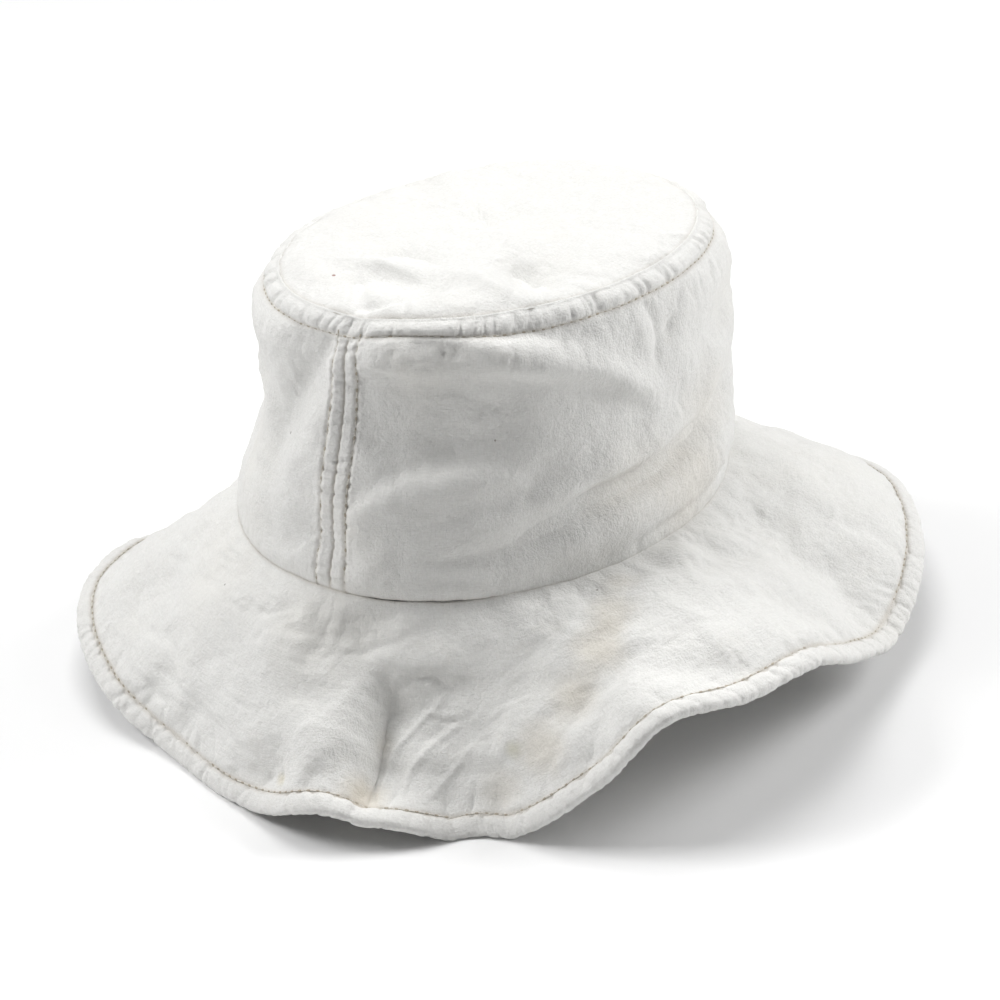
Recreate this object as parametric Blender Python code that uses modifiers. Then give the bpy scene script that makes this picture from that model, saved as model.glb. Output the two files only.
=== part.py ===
"""Sun hat in soft padded cotton, lying on its brim as it was put down.

An oval top panel, one wrapped side panel whose ends meet at a topstitched
seam, a wide limp brim and the strip that is folded over the brim's edge.
Metres, +Z up. The long way of the head opening runs along Y, and the front
of the hat is at -Y. Bearings are degrees counted from +X towards +Y.
"""

import math

import bmesh
import bpy
import numpy as np

MM = 0.001
DEGREE = math.pi / 180

# Cloth: two plies with a soft layer between, and the thin strip on the edge.
CLOTH = 2.4 * MM
STRIP_CLOTH = 1.1 * MM
GAP = 0.3 * MM

# The oval where the crown meets the brim, measured outside the cloth.
SEAM_LONG = 202 * MM
SEAM_SHORT = 169.6 * MM
SEAM_TILT = (0.027, 0.043)

# The oval top panel, with the heights measured from the brim seam.
TOP_LONG = 167.6 * MM
TOP_SHORT = 137.4 * MM
TOP_TILT = (-0.044, 0.072)
TOP_SHIFT = (-5.2 * MM, -7.6 * MM)
TOP_DOME = 2.5 * MM
CROWN_HEIGHT = 95.7 * MM

# The rounded edge round the top, where the seam turns down over the side.
ROLL_HEIGHT = 7.6 * MM
ROLL_DEPTH = 3.0 * MM

# The two stitched ridges beside the side panel's own seam.
RIDGE_BEARING = 97.5
RIDGE_WIDTH = 5.6 * MM
RIDGE_DEPTH = 0.9 * MM

# How full the side panel stands between its two seams: 1 is a plain cone.
BARREL = 1.8
PUFF = 6 * MM
TOP_DENT = 3 * MM

# The brim, from the seam to the outside of its edge strip.
BRIM_WIDTH = 81.5 * MM
STRIP_REACH = 7.8 * MM
# How far the lowest folds are pushed up by the table, and how far the strip
# itself is pressed flat there.
SETTLE = 2.8 * MM
PRESS = 0.9 * MM

# The one deep fold at the front of the brim: its left wall is steep, its
# right wall long, and the cloth left of it stands up as a bank.
VALLEY_BEARING = 110.5
VALLEY_DEPTH = 11 * MM
VALLEY_STEEP = 7.5 * MM
VALLEY_LONG = 13 * MM
BANK_HEIGHT = 3.5 * MM

# Mesh counts.
CROWN_COLUMNS = 64
TOP_RINGS = 5
BRIM_COLUMNS = 96
BRIM_ROWS = 9
BRIM_STEPS = 40

# The folds of the brim. Degrees: where the fold is, how steeply the brim
# falls at the seam and at its edge, and how far its edge is pulled round.
# The last column is how wide the pulled cloth is, as a share of BRIM_WIDTH.
FOLDS = (
    # name, bearing, fall at seam, fall at edge, lean, width
    ("left lobe, back end", 11, 47, 50, 0, 1.0),
    ("left shoulder", 29, 51, 21, 0, 1.02),
    ("left tip", 47, 31, 39, 2, 1.025),
    ("left front quarter", 63, 43, 42, -4, 1.01),
    ("left front, resting", 79, 46, 64, -18, 1.0),
    ("front lobe, left foot", 95, 43, 63, -14, 1.01),
    ("front valley", 110, 62, 17, -2, 0.955),
    ("front lobe, right foot", 125, 57, 49, 0, 1.03),
    ("arch, left spring", 139, 30, 29, -3, 0.985),
    ("arch, left haunch", 149, 14, 5, -9, 0.99),
    ("arch, crown", 161, 0, 21, -2, 1.01),
    ("arch, right haunch", 175, 0, 26, -1, 0.99),
    ("arch, right spring", 189, 10, 41, -2, 1.0),
    ("right front corner", 203, 30, 33, -4, 1.045),
    ("right edge", 217, 21, 33, -6, 1.015),
    ("right edge, upper", 235, 9, 43, -5, 0.98),
    ("right shoulder", 251, 36, 28, -5, 0.98),
    ("nape, resting", 269, 40, 55, -8, 1.0),
    ("nape, left", 289, 34, 50, -6, 1.0),
    ("far lift", 309, 29, 42, -6, 1.0),
    ("far side, resting", 329, 45, 57, -6, 1.0),
    ("far left", 351, 38, 50, -3, 1.0),
)

# Soft swellings and hollows of the side panel. Bearing in degrees, height as
# a share of the crown, depth as a share of PUFF, spread along in degrees,
# spread up as a share of the crown, and the climb in crown shares a degree.
PUFFS = (
    # name, bearing, height, depth, along, up, climb
    ("right flank, full", 240, 0.56, 0.50, 42, 0.28, 0.0),
    ("left flank, sunk", 48, 0.43, -1.15, 28, 0.26, 0.0),
    ("left, under the roll", 52, 0.86, 0.35, 30, 0.09, 0.0),
    ("right, under the roll", 228, 0.84, 0.30, 30, 0.10, 0.0),
    ("left slanting fold", 84, 0.62, -0.45, 7, 0.26, 0.02),
    ("puff under the roll", 135, 0.86, 0.30, 30, 0.07, -0.001),
    ("front hollow", 124, 0.64, -0.75, 26, 0.15, -0.002),
    ("front pleat", 122, 0.43, 0.30, 22, 0.06, 0.0035),
    ("under the pleat", 124, 0.31, -0.25, 20, 0.06, 0.0035),
    ("lower belly", 178, 0.16, 0.35, 28, 0.08, 0.001),
    ("crease above the belly", 172, 0.30, -0.30, 26, 0.05, 0.001),
    ("pinch under the roll", 185, 0.80, -0.25, 4, 0.08, 0.0),
)

# Hollows of the top panel. Place as shares of its half axes, depth as a
# share of TOP_DENT, and spreads as shares of the short half axis.
TOP_DENTS = (
    # name, x, y, depth, along x, along y
    ("front dimple", -0.72, 0.22, -1.0, 0.22, 0.34),
    ("left wrinkle", -0.30, 0.66, -0.6, 0.40, 0.16),
    ("soft middle", 0.10, -0.10, -0.5, 0.60, 0.60),
)


def clear_scene():
    for item in list(bpy.data.objects):
        bpy.data.objects.remove(item, do_unlink=True)


def around(bearings, values):
    """A smooth closed curve through values given at bearings in degrees."""
    at = np.array(bearings, float)
    val = np.array(values, float)
    at = np.concatenate([at[-2:] - 360.0, at, at[:2] + 360.0])
    val = np.concatenate([val[-2:], val, val[:2]])
    step = np.diff(at)
    rise = np.diff(val) / step
    tangent = np.zeros_like(val)
    weight = step[:-1] + step[1:]
    tangent[1:-1] = (rise[:-1] * step[1:] + rise[1:] * step[:-1]) / weight

    def curve(bearing):
        here = np.mod(np.asarray(bearing, float) - bearings[0], 360.0) + bearings[0]
        i = np.clip(np.searchsorted(at, here, side="right") - 1, 1, len(at) - 3)
        t = (here - at[i]) / step[i]
        start = val[i] * (1 + 2 * t) * (1 - t) ** 2 + tangent[i] * step[i] * t * (1 - t) ** 2
        end = val[i + 1] * t * t * (3 - 2 * t) + tangent[i + 1] * step[i] * t * t * (t - 1)
        return start + end

    return curve


def oval(long, short, grow, bearing):
    """Distance from the middle to an oval whose long way is along Y."""
    turn = np.radians(bearing)
    radius = 1 / np.sqrt((np.cos(turn) / (short / 2)) ** 2 + (np.sin(turn) / (long / 2)) ** 2)
    return radius + grow


def plan(bearing):
    turn = np.radians(bearing)
    return np.cos(turn), np.sin(turn)


def seam_height(x, y):
    return SEAM_TILT[0] * x + SEAM_TILT[1] * y


def top_height(x, y):
    return CROWN_HEIGHT + TOP_TILT[0] * x + TOP_TILT[1] * y


def wall_oval(bearing, share):
    """Middle of the side panel's cloth at a share of the crown's height."""
    foot = oval(SEAM_LONG, SEAM_SHORT, -CLOTH / 2, bearing)
    head = oval(TOP_LONG, TOP_SHORT, CLOTH / 2 + GAP, bearing)
    return head + (foot - head) * (1 - np.clip(share, 0, 1) ** BARREL)


def ridge_out(bearing, radius):
    """Height of the two ridges beside the side panel's seam."""
    away = np.abs(np.radians(bearing - RIDGE_BEARING)) * radius / RIDGE_WIDTH
    return RIDGE_DEPTH * np.interp(away, (0.0, 0.12, 0.35, 0.75, 1.0), (0.0, 0.75, 1.0, 0.8, 0.0))


def puff_out(bearing, share):
    """Swellings and hollows of the side panel, none at its two seams."""
    out = 0.0
    for _, at, height, depth, along, up, climb in PUFFS:
        away = (bearing - at + 180.0) % 360.0 - 180.0
        off = (share - height - climb * away) / up
        out = out + depth * np.exp(-((away / along) ** 2) - off**2)
    held = np.clip(share / 0.12, 0, 1) * np.clip((1 - share) / 0.08, 0, 1)
    return PUFF * out * held


def wall_point(bearing, share, out):
    """A point of the side panel, moved outwards by out."""
    cos, sin = plan(bearing)
    radius = wall_oval(bearing, share) + out
    foot = oval(SEAM_LONG, SEAM_SHORT, -CLOTH / 2, bearing)
    head = oval(TOP_LONG, TOP_SHORT, CLOTH / 2 + GAP, bearing)
    low = seam_height(foot * cos, foot * sin) + GAP / 2
    high = top_height(head * cos, head * sin)
    x = TOP_SHIFT[0] * share + radius * cos
    y = TOP_SHIFT[1] * share + radius * sin
    return np.stack([x, y, low + (high - low) * share], -1)


def roll_out(drop):
    """The roll's swelling at a drop below the top edge, in roll heights."""
    swell = (0.0, 0.6, 1.0, 0.95, 0.25, 0.0)
    return ROLL_DEPTH * np.interp(drop, (0.0, 0.16, 0.42, 0.78, 1.0, 1.25), swell)


def wall_rows():
    """Heights of the side panel's rows, as shares of the crown."""
    roll = ROLL_HEIGHT / CROWN_HEIGHT
    wall = [0.0, 0.03, 0.12, 0.22, 0.33, 0.45, 0.57, 0.69, 0.80]
    return wall + [1 - roll * drop for drop in (1.25, 1.0, 0.78, 0.42, 0.16, 0.0)]


def wall_bearings():
    """Columns of the side panel, from one end of the cloth to the other."""
    step = 360.0 / CROWN_COLUMNS
    ridge = math.degrees(RIDGE_WIDTH / (TOP_SHORT / 2))
    slit = math.degrees(0.55 * GAP / (TOP_SHORT / 2))
    near = [slit, 0.16 * ridge, 0.4 * ridge, 0.75 * ridge, 1.05 * ridge]
    far = [step * k for k in range(1, CROWN_COLUMNS) if 1.3 * ridge < step * k < 360 - 1.3 * ridge]
    turns = near + far + [360.0 - value for value in reversed(near)]
    return np.array([RIDGE_BEARING + value for value in turns])


def side_grid():
    columns = wall_bearings()
    rows = []
    for share in wall_rows():
        drop = (1 - share) * CROWN_HEIGHT / ROLL_HEIGHT
        turned = (columns - RIDGE_BEARING + 180.0) % 360.0 - 180.0 + RIDGE_BEARING
        ridge = ridge_out(turned, TOP_SHORT / 2) * np.clip(share / 0.03, 0, 1) * np.clip(drop - 1, 0, 1)
        rows.append(wall_point(columns, share, roll_out(drop) + puff_out(columns, share) + ridge))
    return np.array(rows)


def top_grid():
    columns = RIDGE_BEARING + np.arange(CROWN_COLUMNS) * 360.0 / CROWN_COLUMNS
    cos, sin = plan(columns)
    rows = []
    for share in np.linspace(0, 1, TOP_RINGS + 1) ** 0.8:
        radius = oval(TOP_LONG, TOP_SHORT, 0.0, columns) * share
        x = radius * cos
        y = radius * sin
        lift = TOP_DOME * (1 - share**2) - CLOTH / 4
        for _, at_x, at_y, depth, wide_x, wide_y in TOP_DENTS:
            off_x = (x - at_x * TOP_SHORT / 2) / (wide_x * TOP_SHORT / 2)
            off_y = (y - at_y * TOP_LONG / 2) / (wide_y * TOP_SHORT / 2)
            lift = lift + TOP_DENT * depth * np.exp(-(off_x**2) - off_y**2) * (1 - share**4)
        rows.append(np.stack([TOP_SHIFT[0] + x, TOP_SHIFT[1] + y, top_height(x, y) + lift], -1))
    return np.array(rows)


def brim_bearings():
    """Columns of the brim, closer together at the deep fold."""
    turn = np.linspace(0, 360, 3601)
    crowd = 1 + 1.3 * np.exp(-(((turn + RIDGE_BEARING - VALLEY_BEARING) / 14) ** 2))
    reach = np.concatenate([[0], np.cumsum((crowd[1:] + crowd[:-1]) / 2)])
    wanted = np.arange(BRIM_COLUMNS) / BRIM_COLUMNS * reach[-1]
    return RIDGE_BEARING + np.interp(wanted, reach, turn)


def deep_fold(rings, columns):
    """Press the deep fold into the brim, square to its cloth."""
    share = np.linspace(0, 1, len(rings))[:, None]
    off = (columns - VALLEY_BEARING - 1.5 * (1 - share) + 180) % 360 - 180
    across = DEGREE * off * np.linalg.norm(rings[..., :2], axis=-1)
    side = np.where(across < 0, VALLEY_STEEP, VALLEY_LONG) * (0.55 + 0.45 * share)
    head = np.sin(np.clip((share - 0.28) / 0.28, 0, 1) * math.pi / 2) ** 2
    mouth = 1 - 0.45 * np.clip((share - 0.72) / 0.25, 0, 1)
    sunk = -VALLEY_DEPTH * np.exp(-((across / side) ** 2)) * mouth
    stood = np.exp(-(((across + 16 * MM) / (10 * MM)) ** 2))
    bank = BANK_HEIGHT * stood * np.clip((1.1 - share) / 0.4, 0, 1)
    along = np.roll(rings, -1, 1) - np.roll(rings, 1, 1)
    up = np.cross(np.gradient(rings, axis=0), along)
    up /= np.linalg.norm(up, axis=-1)[..., None]
    return rings + up * (head * (sunk + bank))[..., None]


def brim_grid(shares):
    """Middle of the brim's cloth, one ring for each share of its width."""
    columns = brim_bearings()
    bearings = [fold[1] for fold in FOLDS]
    values = [around(bearings, [fold[k] for fold in FOLDS])(columns) for k in (2, 3, 4, 5)]
    fall_in, fall_out, lean, width = values
    stride = ((BRIM_WIDTH * width + CLOTH / 2) / BRIM_STEPS)[:, None]
    cos, sin = plan(columns)
    radius = oval(SEAM_LONG, SEAM_SHORT, -CLOTH / 2, columns)
    seam = np.stack([radius * cos, radius * sin, seam_height(radius * cos, radius * sin) - GAP / 2], -1)
    out_x = cos / (SEAM_SHORT / 2) ** 2
    out_y = sin / (SEAM_LONG / 2) ** 2
    heading = np.arctan2(out_y, out_x)
    start = seam - np.array([0, 0, (CLOTH + GAP) / 2])
    marched = [start]
    for k in range(BRIM_STEPS):
        share = (k + 0.5) / BRIM_STEPS
        fall = DEGREE * (fall_in + (fall_out - fall_in) * share)
        turn = heading + DEGREE * lean * share
        level = np.cos(fall)
        ahead = np.stack([level * np.cos(turn), level * np.sin(turn), -np.sin(fall)], -1)
        marched.append(marched[-1] + ahead * stride)
    marched = np.array(marched)
    below = (CLOTH / 2 + GAP + STRIP_CLOTH) * np.cos(fall_out * DEGREE)
    under = marched[-1, :, 2] - below - (GAP + STRIP_CLOTH) * np.sin(fall_out * DEGREE)
    push = np.maximum(under.min() + SETTLE - under, 0)
    marched[:, :, 2] += push * np.linspace(0, 1, BRIM_STEPS + 1)[:, None] ** 2
    marched = deep_fold(marched, columns)
    rows = [seam]
    for share in shares:
        i = min(int(share * BRIM_STEPS), BRIM_STEPS - 1)
        part = share * BRIM_STEPS - i
        rows.append(marched[i] * (1 - part) + marched[i + 1] * part)
    return np.array(rows)


def brim_shares():
    """Rows of the brim: the last one holds the edge strip's two legs."""
    end = 1 - (STRIP_CLOTH + GAP) / BRIM_WIDTH
    leg = end - (STRIP_REACH + GAP) / BRIM_WIDTH
    return list(np.linspace(0, leg, BRIM_ROWS - 1)) + [end]


def strip_grid(brim):
    """The folded edge strip, as one open section carried round the brim."""
    inner = brim[-2]
    edge = brim[-1]
    out = edge - inner
    out /= np.linalg.norm(out, axis=1)[:, None]
    along = np.roll(edge, -1, 0) - np.roll(edge, 1, 0)
    up = np.cross(out, along)
    up /= np.linalg.norm(up, axis=1)[:, None]
    depth = GAP + STRIP_CLOTH / 2
    leg = STRIP_REACH - STRIP_CLOTH - GAP
    twist = np.linalg.norm(np.roll(up, -1, 0) - up, axis=1)
    ease = leg / 4 * np.maximum(twist, np.roll(twist, 1))
    height = (CLOTH / 2 + GAP + STRIP_CLOTH / 2 + ease)[:, None]
    half = [(-leg, height), (0.6 * depth, height), (depth, 0.66 * height)]
    section = half + [(x, -z) for x, z in reversed(half)]
    return np.array([edge + out * x + up * z for x, z in section])


def sheet(name, grid, closed, thickness):
    """A mesh grid laid over the points of grid, given a wall by Solidify."""
    rows, columns = grid.shape[:2]
    across = columns if closed else columns - 1
    mesh = bpy.data.meshes.new(name)
    cloth = bmesh.new()
    bmesh.ops.create_grid(cloth, x_segments=across, y_segments=rows - 1, size=1.0)
    for vert in cloth.verts:
        i = round((vert.co.x + 1) / 2 * across) % columns
        j = round((vert.co.y + 1) / 2 * (rows - 1))
        vert.co = grid[j, i]
    bmesh.ops.remove_doubles(cloth, verts=cloth.verts, dist=0.01 * MM)
    bmesh.ops.recalc_face_normals(cloth, faces=cloth.faces)
    cloth.to_mesh(mesh)
    cloth.free()
    mesh.shade_smooth()
    item = bpy.data.objects.new(name, mesh)
    wall = item.modifiers.new("wall", "SOLIDIFY")
    wall.thickness = thickness
    wall.offset = 0.0
    wall.use_even_offset = True
    wall.use_rim = True
    return item


def cotton(name, colour):
    material = bpy.data.materials.new(name)
    material.use_nodes = True
    shader = material.node_tree.nodes["Principled BSDF"]
    shader.inputs["Base Color"].default_value = (*colour, 1.0)
    shader.inputs["Roughness"].default_value = 0.9
    shader.inputs["Metallic"].default_value = 0.0
    return material


def finish_mesh(item):
    """Swap an object's mesh for the one its modifiers make."""
    bpy.context.view_layer.update()
    seen = item.evaluated_get(bpy.context.evaluated_depsgraph_get())
    item.data = bpy.data.meshes.new_from_object(seen)
    item.modifiers.clear()


def set_down(items, strip):
    """Stand the hat on z = 0 over the origin, its lowest folds pressed flat."""
    points = np.array([vert.co for item in items for vert in item.data.vertices])
    low = points.min(0)
    high = points.max(0)
    move = np.array([-(low[0] + high[0]) / 2, -(low[1] + high[1]) / 2, -low[2] - PRESS])
    for item in items:
        for vert in item.data.vertices:
            vert.co = np.array(vert.co) + move
    for vert in strip.data.vertices:
        vert.co.z = max(vert.co.z, 0.0)


def build():
    clear_scene()
    hat = bpy.data.collections.new("sun_hat")
    bpy.context.scene.collection.children.link(hat)
    brim = brim_grid(brim_shares())
    pieces = {
        "crown_top": sheet("crown_top", top_grid(), True, CLOTH),
        "crown_side": sheet("crown_side", side_grid(), False, CLOTH),
        "brim": sheet("brim", brim, True, CLOTH),
        "brim_binding": sheet("brim_binding", strip_grid(brim), True, STRIP_CLOTH),
    }
    for name, item in pieces.items():
        hat.objects.link(item)
        item.data.materials.append(cotton(name + "_cotton", (0.86, 0.85, 0.82)))
    for item in pieces.values():
        finish_mesh(item)
    set_down(list(pieces.values()), pieces["brim_binding"])


build()
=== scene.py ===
# %% [markdown]
# # A padded cotton sun hat, lying on its brim
#
# The hat is sewn from four cloths: an oval top panel, one side panel that is
# wrapped round and closed with a double row of stitches, a wide limp brim, and
# a strip folded over the brim's edge. This lesson dresses the CAD model of the
# hat: every cloth is made again with many more faces, so that folds, puckers
# and seams are real shape, and gets a cotton finish that is all nodes.

# %% Load the frame
import math

import bmesh
import bpy
import numpy as np
from mathutils import Matrix, Vector


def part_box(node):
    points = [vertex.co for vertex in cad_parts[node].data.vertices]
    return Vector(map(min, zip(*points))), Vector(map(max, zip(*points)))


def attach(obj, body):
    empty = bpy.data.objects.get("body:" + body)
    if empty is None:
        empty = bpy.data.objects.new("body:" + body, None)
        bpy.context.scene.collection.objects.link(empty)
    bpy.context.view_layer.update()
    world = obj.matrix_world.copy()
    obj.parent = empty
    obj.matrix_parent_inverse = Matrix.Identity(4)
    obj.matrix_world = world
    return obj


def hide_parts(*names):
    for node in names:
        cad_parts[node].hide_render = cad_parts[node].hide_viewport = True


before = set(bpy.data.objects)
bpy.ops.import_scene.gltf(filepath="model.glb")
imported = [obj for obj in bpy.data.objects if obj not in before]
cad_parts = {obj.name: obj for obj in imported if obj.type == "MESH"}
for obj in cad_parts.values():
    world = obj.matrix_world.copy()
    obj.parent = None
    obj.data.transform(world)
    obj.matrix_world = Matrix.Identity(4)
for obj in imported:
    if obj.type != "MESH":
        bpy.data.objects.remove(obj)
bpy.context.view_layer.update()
MM = 0.001

# %% [markdown]
# ## The hat's measures
#
# The scene repeats the CAD model's own measures, because it can't read that
# file. All the shapes start from two tilted ovals: the seam between crown and
# brim, and the edge of the top panel. Bearings are degrees from +X towards +Y,
# and heights on a cloth are shares, from 0 at its first seam to 1 at its other.

# %% Measures shared with the CAD model
CLOTH = 2.4 * MM
STRIP_CLOTH = 1.1 * MM
GAP = 0.3 * MM
SEAM_LONG, SEAM_SHORT = 202 * MM, 169.6 * MM
SEAM_TILT = (0.027, 0.043)
TOP_LONG, TOP_SHORT = 167.6 * MM, 137.4 * MM
TOP_TILT = (-0.044, 0.072)
TOP_SHIFT = (-5.2 * MM, -7.6 * MM)
TOP_DOME = 4.2 * MM
CROWN_HEIGHT = 95.7 * MM
ROLL_HEIGHT = 7.6 * MM
SIDE_SEAM = 97.5
BARREL = 1.8
BRIM_WIDTH = 81.5 * MM
STRIP_REACH = 7.8 * MM
SETTLE = 2.8 * MM
PITCH = 3.6 * MM
# The middle of the seam oval, once the hat is set down on its brim.
MIDDLE = np.array([9.59, 2.45, 65.59]) * MM

# %% [markdown]
# ## Small tools for cloth
#
# A hat's folds are smooth round the head, so every value that changes with the
# bearing goes through one closed curve. Small crumples come from seeded noise
# that repeats after one turn, so no join shows. Folds and creases that the
# photograph shows are drawn as short lines on the cloth, and a function gives
# each point its distance to such a line.

# %% Curves and ovals
def around(bearings, values):
    """A smooth closed curve through values given at bearings in degrees."""
    at = np.array(bearings, float)
    val = np.array(values, float)
    at = np.concatenate([at[-2:] - 360.0, at, at[:2] + 360.0])
    val = np.concatenate([val[-2:], val, val[:2]])
    step = np.diff(at)
    rise = np.diff(val) / step
    tangent = np.zeros_like(val)
    tangent[1:-1] = (rise[:-1] * step[1:] + rise[1:] * step[:-1]) / (step[:-1] + step[1:])

    def curve(bearing):
        here = np.mod(np.asarray(bearing, float) - bearings[0], 360.0) + bearings[0]
        i = np.clip(np.searchsorted(at, here, side="right") - 1, 1, len(at) - 3)
        t = (here - at[i]) / step[i]
        start = val[i] * (1 + 2 * t) * (1 - t) ** 2 + tangent[i] * step[i] * t * (1 - t) ** 2
        end = val[i + 1] * t * t * (3 - 2 * t) + tangent[i + 1] * step[i] * t * t * (t - 1)
        return start + end

    return curve


def oval(long, short, grow, bearing):
    """Distance from the middle to an oval whose long way is along Y."""
    turn = np.radians(bearing)
    return 1 / np.sqrt((np.cos(turn) / (short / 2)) ** 2 + (np.sin(turn) / (long / 2)) ** 2) + grow


def turned(bearing, at):
    """Degrees from a bearing to another, between -180 and 180."""
    return (bearing - at + 180.0) % 360.0 - 180.0


def closed(bearings):
    """The bearings, and the first one again after a whole turn."""
    return np.append(bearings, bearings[0] + 360.0)


def unit(vectors):
    """The vectors, each made one long."""
    return vectors / np.linalg.norm(vectors, axis=-1, keepdims=True)


def hump(off, width):
    """1 on a line, and smoothly down to 0 away from it."""
    return np.exp(-((off / width) ** 2))


def groove(off, width, steep=1.5):
    """1 on a line, and down to 0 away from it, with a narrower head."""
    return np.exp(-(np.abs(off / width) ** steep))


def reach_of(crowd):
    """How far along a line each place is, when steps are weighted by crowd."""
    return np.concatenate([[0], np.cumsum((crowd[1:] + crowd[:-1]) / 2)])


# %% Noise that closes after one turn
def billow(x, y, cells, seed):
    """Smooth noise about 0, one bump to a cell, that repeats after cells in x."""
    tall = 256
    angle = np.random.default_rng(seed).uniform(0, 2 * math.pi, (cells, tall))
    xi, yi = np.floor(x).astype(int), np.floor(y).astype(int)
    fx, fy = x - xi, y - yi
    wx, wy = fx**3 * (fx * (fx * 6 - 15) + 10), fy**3 * (fy * (fy * 6 - 15) + 10)

    def corner(dx, dy):
        a = angle[(xi + dx) % cells, (yi + dy) % tall]
        return np.cos(a) * (fx - dx) + np.sin(a) * (fy - dy)

    low = corner(0, 0) * (1 - wx) + corner(1, 0) * wx
    high = corner(0, 1) * (1 - wx) + corner(1, 1) * wx
    return (low * (1 - wy) + high * wy) * 1.6


def crumple(turn, up, across, size, stretch, seed):
    """Creased cotton: round pads between narrow valleys. turn is in whole turns,
    up and size are in metres, across is the way round, stretch lengthens cells."""
    cells = max(3, int(round(across / (size * stretch))))
    x, y = turn * cells, up / size
    bend = 0.6 * billow(x, y, cells, seed + 50)
    first = np.sqrt(billow(x + bend, y + bend, cells, seed) ** 2 + 0.006)
    second = np.sqrt(billow(2 * x - bend, 2 * y, 2 * cells, seed + 1) ** 2 + 0.006)
    return first + 0.35 * second - 0.42


# %% Lines drawn on the cloth
def track(x, y, points):
    """Distance from x, y to a line of points, signed, and the share along it."""
    near = np.full(np.shape(x), 1e9)
    side = np.zeros(np.shape(x))
    share = np.zeros(np.shape(x))
    count = len(points) - 1
    for k in range(count):
        (ax, ay), (bx, by) = points[k], points[k + 1]
        dx, dy = bx - ax, by - ay
        t = np.clip(((x - ax) * dx + (y - ay) * dy) / (dx * dx + dy * dy + 1e-12), 0, 1)
        off_x, off_y = x - ax - t * dx, y - ay - t * dy
        away = np.hypot(off_x, off_y)
        take = away < near
        near = np.where(take, away, near)
        side = np.where(take, np.sign(dx * off_y - dy * off_x), side)
        share = np.where(take, (k + t) / count, share)
    return near * side, share


def fold_shape(kind, off, width, share):
    """The height of one fold across its line, for a height of 1 at its best: a
    crease, a ridge, a step up on the line's left, or a ledge, up on its right."""
    fade = np.sin(np.pi * np.clip(share, 0.02, 0.98)) ** 0.6
    if kind == "crease":
        return -fade * groove(off, width, 1.6)
    if kind in ("step", "ledge"):
        off = off if kind == "step" else -off
        left = np.exp(-np.abs(off) / (2.5 * width))
        right = -0.7 * np.exp(-np.abs(off) / width)
        smooth = 0.5 + 0.5 * np.tanh(off / (0.5 * width))
        return np.where(share < 0.5, 1.0, fade) * (left * smooth + right * (1 - smooth))
    return fade * hump(off, width)


def drawn(folds, place):
    """The relief of a table of folds. place gives the flat places of the cloth's
    points, and those of a line's points."""
    relief = 0.0
    for kind, height, width, line in folds:
        off, share = track(*place(line))
        relief = relief + height * MM * fold_shape(kind, off, width * MM, share)
    return relief


def puckers(along, across, total, gap, width, depth, slant, seed):
    """Narrow valleys across a seam, at uneven places along it. The least and the
    most gap between them, their width and their depth are in mm."""
    rng = np.random.default_rng(seed)
    gap, width, depth = (gap[0] * MM, gap[1] * MM), width * MM, depth * MM
    places = np.cumsum(rng.uniform(gap[0], gap[1], int(2 * total / sum(gap)) + 2))
    places = places[places < total - gap[0] / 2]
    out = 0.0
    for place in places:
        lean = slant * rng.uniform(-1, 1)
        wide = width * rng.uniform(0.6, 1.5)
        deep = depth * rng.uniform(0.25, 1.0)
        off = (along - place - lean * across + total / 2) % total - total / 2
        out = out - deep * groove(off, wide, 1.3)
    return out


# %% [markdown]
# ## Letting the cloth buckle
#
# Padded cotton that is a little too large for the space between its seams
# buckles, and no drawn line looks as natural as that. Each panel goes once
# through Blender's cloth simulation on a coarse grid: it grows by one or two
# hundredths while its seams are pinned. How far each point then moved is
# capped, smoothed and carried over to the fine grid.

# %% Buckles from the cloth simulation
SIMULATED_FRAMES = 22
BENDING = 1.5


def placed(name, data):
    """A new object for a mesh, a lamp or a camera, in the scene."""
    item = bpy.data.objects.new(name, data)
    bpy.context.scene.collection.objects.link(item)
    return item


def nearness(fine, coarse, reach, turn=None):
    """Weights that carry values at coarse places over to fine places."""
    off = fine[:, None] - coarse[None, :]
    if turn:
        off = (off + turn / 2) % turn - turn / 2
    weight = np.exp(-0.5 * (off / reach) ** 2)
    return weight / weight.sum(1, keepdims=True)


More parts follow.
